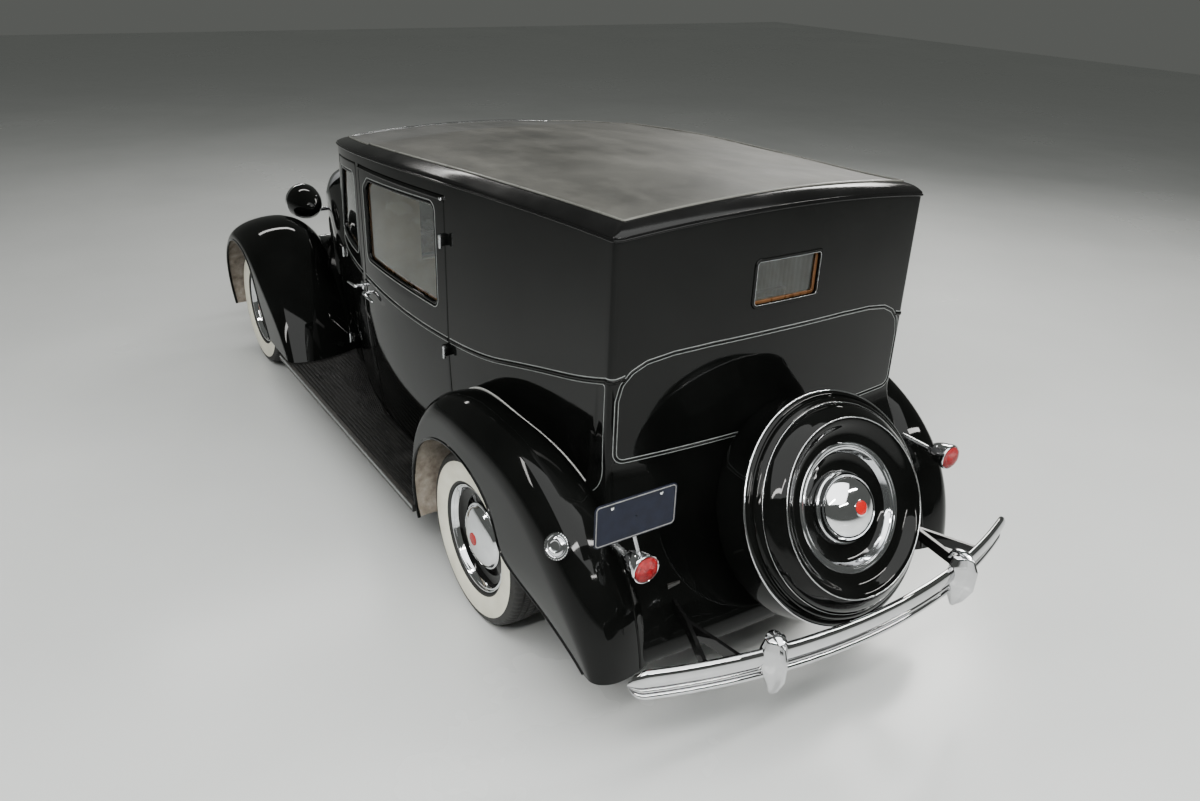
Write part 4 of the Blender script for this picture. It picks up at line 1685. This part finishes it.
for name, low, high, inner, outer in windshield["corners"]:
    rise = np.linspace(low, high, 30)[:, None]
    share = (rise - low) / (high - low)
    inside, outside = (a + (b - a) * share for a, b in (inner, outer))
    y = inside + np.linspace(0, 1, 12)[None, :] * (outside - inside)
    grid = foot + y[..., None] * (0, 1, 0) + (rise + 0 * y)[..., None] * up - 0.01 * ahead
    post = skinPiece(name + "_l", grid, windshield["thick"], core=(0.2, 0.0, 1.0))
    bothSides(post, bodyBlack)

# Aprons between the sills and the running boards
x = np.linspace(-0.79, 1.09, 60)
apron = np.stack([x, np.interp(x, boards["x"], boards["inner"]) - 0.012, 0.354 + 0 * x], -1)
section = ((-0.022, -0.002), (0.022, -0.002), (0.022, 0.002), (-0.022, 0.002))
bothSides(sweptPiece("sillApron_l", apron, section, (0, 1, 0)), frameBlack)

# Radiator shell with a rounded face, and bars that rise to its arch
radiator = {
    "x": 2.055,
    "side": ((0.212, 0.431), (0.245, 0.68), (0.2715, 0.925), (0.264, 1.015), (0.2176, 1.106), (0.12, 1.152)),
    "top": 1.165,
    "face": ((0.0, -0.03), (0.0, 0.01), (0.003, 0.02), (0.01, 0.0265), (0.02, 0.0295), (0.032, 0.0285),
             (0.041, 0.0225), (0.046, 0.012), (0.046, -0.03)),
    "sillHalf": 0.206,
    "bars": 31,
    "pitch": 0.0142,
    "barX": 2.062,
    "backX": 2.041,
}
shellSide, faceX = radiator["side"], radiator["x"]
arch = smoothPath([(faceX, -y, z) for y, z in shellSide] + [(faceX, 0.0, radiator["top"])]
                  + [(faceX, y, z) for y, z in shellSide[::-1]], 240)
face = np.array(radiator["face"])
surround = sweptPiece("radiatorSurround", arch, face, (1, 0, 0), sharp=60)
finish(surround, chrome, replaced=("radiator_shell",))
y = np.linspace(-radiator["sillHalf"], radiator["sillHalf"], 60)
sill = np.stack([faceX + 0 * y, y, shellSide[0][1] + 0 * y], -1)
finish(sweptPiece("radiatorSill", sill, face * (-1, 1), (1, 0, 0), sharp=60), chrome,
       replaced=("radiator_shell",))
forward = np.gradient(arch, axis=0)
forward /= np.linalg.norm(forward, axis=1, keepdims=True)
opening = arch + 0.044 * np.cross(forward, (1, 0, 0))
half = opening[:120]
across = np.linspace(-1, 1, 30)
back = np.stack([radiator["backX"] + 0 * half[:, :1] + 0 * across, (np.abs(half[:, 1:2]) + 0.012) * across,
                 half[:, 2:] + 0 * across], -1)
finish(skinPiece("grilleBack", back, 0.002), grooveBlack, replaced=("grille",))
high = opening[:, 2] > shellSide[2][1]
bars = []
for k in range(radiator["bars"]):
    y = radiator["pitch"] * (k - radiator["bars"] // 2)
    top = np.interp(y, opening[high, 1], opening[high, 2])
    bottom = np.interp(abs(y), (0.0, 0.166, 0.168, 0.226), (0.472, 0.472, 0.475, 0.925))
    z = np.linspace(bottom, top, 10)
    line = np.stack([radiator["barX"] + 0 * z, y + 0 * z, z], -1)
    bars.append(sweptPiece(f"grilleBar{k}", line, circle(0.004, 8, 2.0), (1, 0, 0), sharp=50))
finish(joined("grilleUprights", bars), grilleBars, replaced=("grille",))

# Cloth on the inner faces of the body and doors
def lined(piece, material):
    # The faces after the front ones, as many again, are the inner side
    count = frontFaces.get(piece.name) or frontFaces[piece.name[:-1] + "l"]
    paintFaces(piece, material, slice(count, 2 * count))


lined(rearBody, tanCloth)
for place, lining in (("rear", tanCloth), ("front", blackLeather)):
    for side in "lr":
        lined(bpy.data.objects[f"{place}Fender_{side}"], undercoat)
        lined(bpy.data.objects[f"{place}Door_{side}"], lining)


# Padded seats: a rounded block swells as cloth, then takes its seams and buttons
seats = {
    "voxel": 0.012,
    "pressure": 4.0,
    "cap": 0.022,
    "pads": (
        # name, centre, half sizes, lean back in degrees, material, record slot, node, seams along y, buttons
        ("rearCushion", (-1.025, 0.0, 0.712), (0.262, 0.553, 0.072), 2.0, "tan", "rear_seat", 7, False),
        ("rearBack", (-1.378, 0.0, 1.01), (0.072, 0.553, 0.245), 14.0, "tan", "rear_seat", 7, False),
        ("frontCushion", (0.395, 0.0, 0.712), (0.158, 0.513, 0.058), 3.0, "black", "front_seat", 9, True),
        ("frontBack", (0.15, 0.0, 0.945), (0.044, 0.513, 0.165), 3.0, "black", "front_seat", 9, True),
    ),
}
padLooks = {"tan": (tanCloth, "cloth_tan"), "black": (blackLeather, "leather_black")}


def leaned(points, centre, degrees):
    # turned about y through the centre; positive leans the top back
    a = -math.radians(degrees)
    p = points - centre
    return np.stack([p[:, 0] * math.cos(a) + p[:, 2] * math.sin(a), p[:, 1],
                     -p[:, 0] * math.sin(a) + p[:, 2] * math.cos(a)], -1) + centre


def baked(piece):
    # the object's mesh with its modifiers applied
    depsgraph = bpy.context.evaluated_depsgraph_get()
    mesh = bpy.data.meshes.new_from_object(piece.evaluated_get(depsgraph))
    piece.modifiers.clear()
    piece.data = mesh
    return mesh


def padPiece(name, centre, half, lean, look, node, seams, buttons):
    # Each point swells by the cap at most; grooves are a depth times exp(-(distance / width)^2), cut along
    # the thin axis and faded out towards the middle
    centre = np.array(centre)
    piece = softBlock(name, centre, half, power=9.0, steps=44)
    remesh = piece.modifiers.new("even", "REMESH")
    remesh.mode = "VOXEL"
    remesh.voxel_size = seats["voxel"]
    start = meshPoints(baked(piece))
    cloth = piece.modifiers.new("swell", "CLOTH")
    cloth.settings.use_pressure = True
    cloth.settings.uniform_pressure_force = seats["pressure"]
    cloth.settings.effector_weights.gravity = 0.0
    cloth.settings.quality = 4
    cloth.point_cache.frame_end = 20
    for at in range(1, 21):
        bpy.context.scene.frame_set(at)
    swollen = meshPoints(baked(piece))
    bpy.context.scene.frame_set(1)
    move = swollen - start
    far = np.linalg.norm(move, axis=1, keepdims=True)
    start = start + move * np.minimum(1.0, seats["cap"] / np.maximum(far, 1e-9))
    flat = 2 if half[2] < half[0] else 0
    other = 0 if flat == 2 else 2
    p = start - centre
    pitch = 2 * half[1] / seams
    across = np.abs((p[:, 1] / pitch + 0.5 * (seams % 2 == 0)) % 1.0 - 0.5) * pitch
    across = pitch / 2 - across if seams % 2 else across
    depth = 0.01 * np.exp(-(across / 0.01) ** 2)
    if buttons:
        rowPitch = pitch * 1.05
        u, v = p[:, 1] / pitch, p[:, other] / rowPitch
        near = np.minimum(np.hypot((u + 0.5) % 1 - 0.5, (v + 0.5) % 1 - 0.5), np.hypot(u % 1 - 0.5, v % 1 - 0.5))
        creases = np.minimum(np.abs((u + v + 0.5) % 1 - 0.5), np.abs((u - v + 0.5) % 1 - 0.5)) * pitch * 0.7
        depth = 0.018 * np.exp(-(near * pitch / 0.02) ** 2) + 0.006 * np.exp(-(creases / 0.008) ** 2)
    outer = np.clip((np.abs(p[:, flat]) - half[flat] * 0.55) / (half[flat] * 0.4), 0, 1)
    start[:, flat] -= np.sign(p[:, flat]) * depth * outer
    start = leaned(start, centre, lean)
    movePoints(piece.data, start)
    smooth = piece.modifiers.new("fine", "SUBSURF")
    smooth.levels = smooth.render_levels = 1
    baked(piece)
    piece.data.polygons.foreach_set("use_smooth", np.ones(len(piece.data.polygons), bool))
    material, slot = padLooks[look]
    finish(piece, material, replaced=(node,))
    edge = roundedLoop([(-1, -1), (1, -1), (1, 1), (-1, 1)], 0.06, 6)
    for k, side in enumerate((1, -1)):
        ring = np.zeros((len(edge), 3))
        ring[:, 1] = edge[:, 0] * (half[1] - 0.004)
        ring[:, other] = edge[:, 1] * (half[other] - 0.004)
        ring[:, flat] = side * (half[flat] - 0.002)
        path = leaned(evenLoop(ring, 300) + centre, centre, lean)
        piping = sweptPiece(f"{name}Piping{k}", path, circle(0.006, 8), (0.3, 0.2, 1), closed=True)
        finish(piping, material, replaced=(node,))


for pad in seats["pads"]:
    padPiece(*pad)
for name, place, half, look, node in (
        ("rearSeatBase", (-1.025, 0.0, 0.64), (0.262, 0.565, 0.026), "tan", "rear_seat"),
        ("frontSeatBase", (0.33, 0.0, 0.585), (0.225, 0.52, 0.072), "black", "front_seat"),
        ("frontSeatCore", (0.118, 0.0, 0.81), (0.026, 0.515, 0.3), "black", "front_seat"),
        ("rearSeatCore", (-1.44, 0.0, 0.93), (0.04, 0.56, 0.31), "tan", "rear_seat")):
    material, slot = padLooks[look]
    finish(softBlock(name, place, half, power=8.0, steps=30), material, replaced=(node,))
print("Seats and kept nodes finished")


# Floor and lights
def stageFloor():
    # A large pale glossy floor and a soft far wall round it
    side = np.linspace(-24.0, 24.0, 60)
    x, y = np.meshgrid(side, side, indexing="ij")
    floor = sheetPiece("floor", np.stack([x, y, 0 * x - 0.0005], -1), 0.05)
    material = newMaterial("floorPaint", (0.64, 0.655, 0.65), 0.22, Specular_IOR_Level=0.5)
    cloud = noiseOn(material, 2.2, detail=5.0)
    tinted(material, cloud, [(0.3, (0.61, 0.625, 0.62)), (0.7, (0.67, 0.685, 0.68))])
    roughen(material, cloud, 0.16, 0.3)
    floor.data.materials.append(material)


def areaLight(name, place, aim, size, power, colour):
    # A rectangular lamp turned towards its aim
    data = bpy.data.lights.new(name, "AREA")
    data.shape = "RECTANGLE"
    data.size, data.size_y = size
    data.energy = power
    data.color = colour
    lamp = bpy.data.objects.new(name, data)
    lamp.location = place
    lamp.rotation_euler = (Vector(aim) - Vector(place)).to_track_quat("-Z", "Y").to_euler()
    bpy.context.scene.collection.objects.link(lamp)


lights = {
    "ceiling": ((-4.6, 3.6, 190), (-4.6, -3.4, 190), (0.4, 4.4, 110), (0.4, -4.4, 110), (5.0, 0.0, 70),
                (-8.0, 0.6, 170)),
    "ceilingZ": 4.6,
    "ceilingSize": (0.35, 3.2),
}
stageFloor()
for k, (x, y, power) in enumerate(lights["ceiling"]):
    areaLight(f"ceiling{k}", (x, y, lights["ceilingZ"]), (x, y, 0), lights["ceilingSize"], power, (1.0, 0.985, 0.95))
areaLight("wideCeiling", (-3.9, 1.6, 5.6), (-3.3, 1.2, 0), (8, 7), 640, (0.985, 1.0, 0.985))
areaLight("roofGlow", (2.9, -6.2, 5.4), (-1.7, 0.0, 1.8), (3.6, 1.6), 260, (1.0, 0.985, 0.94))
world = bpy.data.worlds.new("showroom")
bpy.context.scene.world = world
world.use_nodes = True
sky = world.node_tree.nodes["Background"]
sky.inputs["Color"].default_value = (0.115, 0.12, 0.112, 1)
sky.inputs["Strength"].default_value = 0.9
print("Stage and lights set")
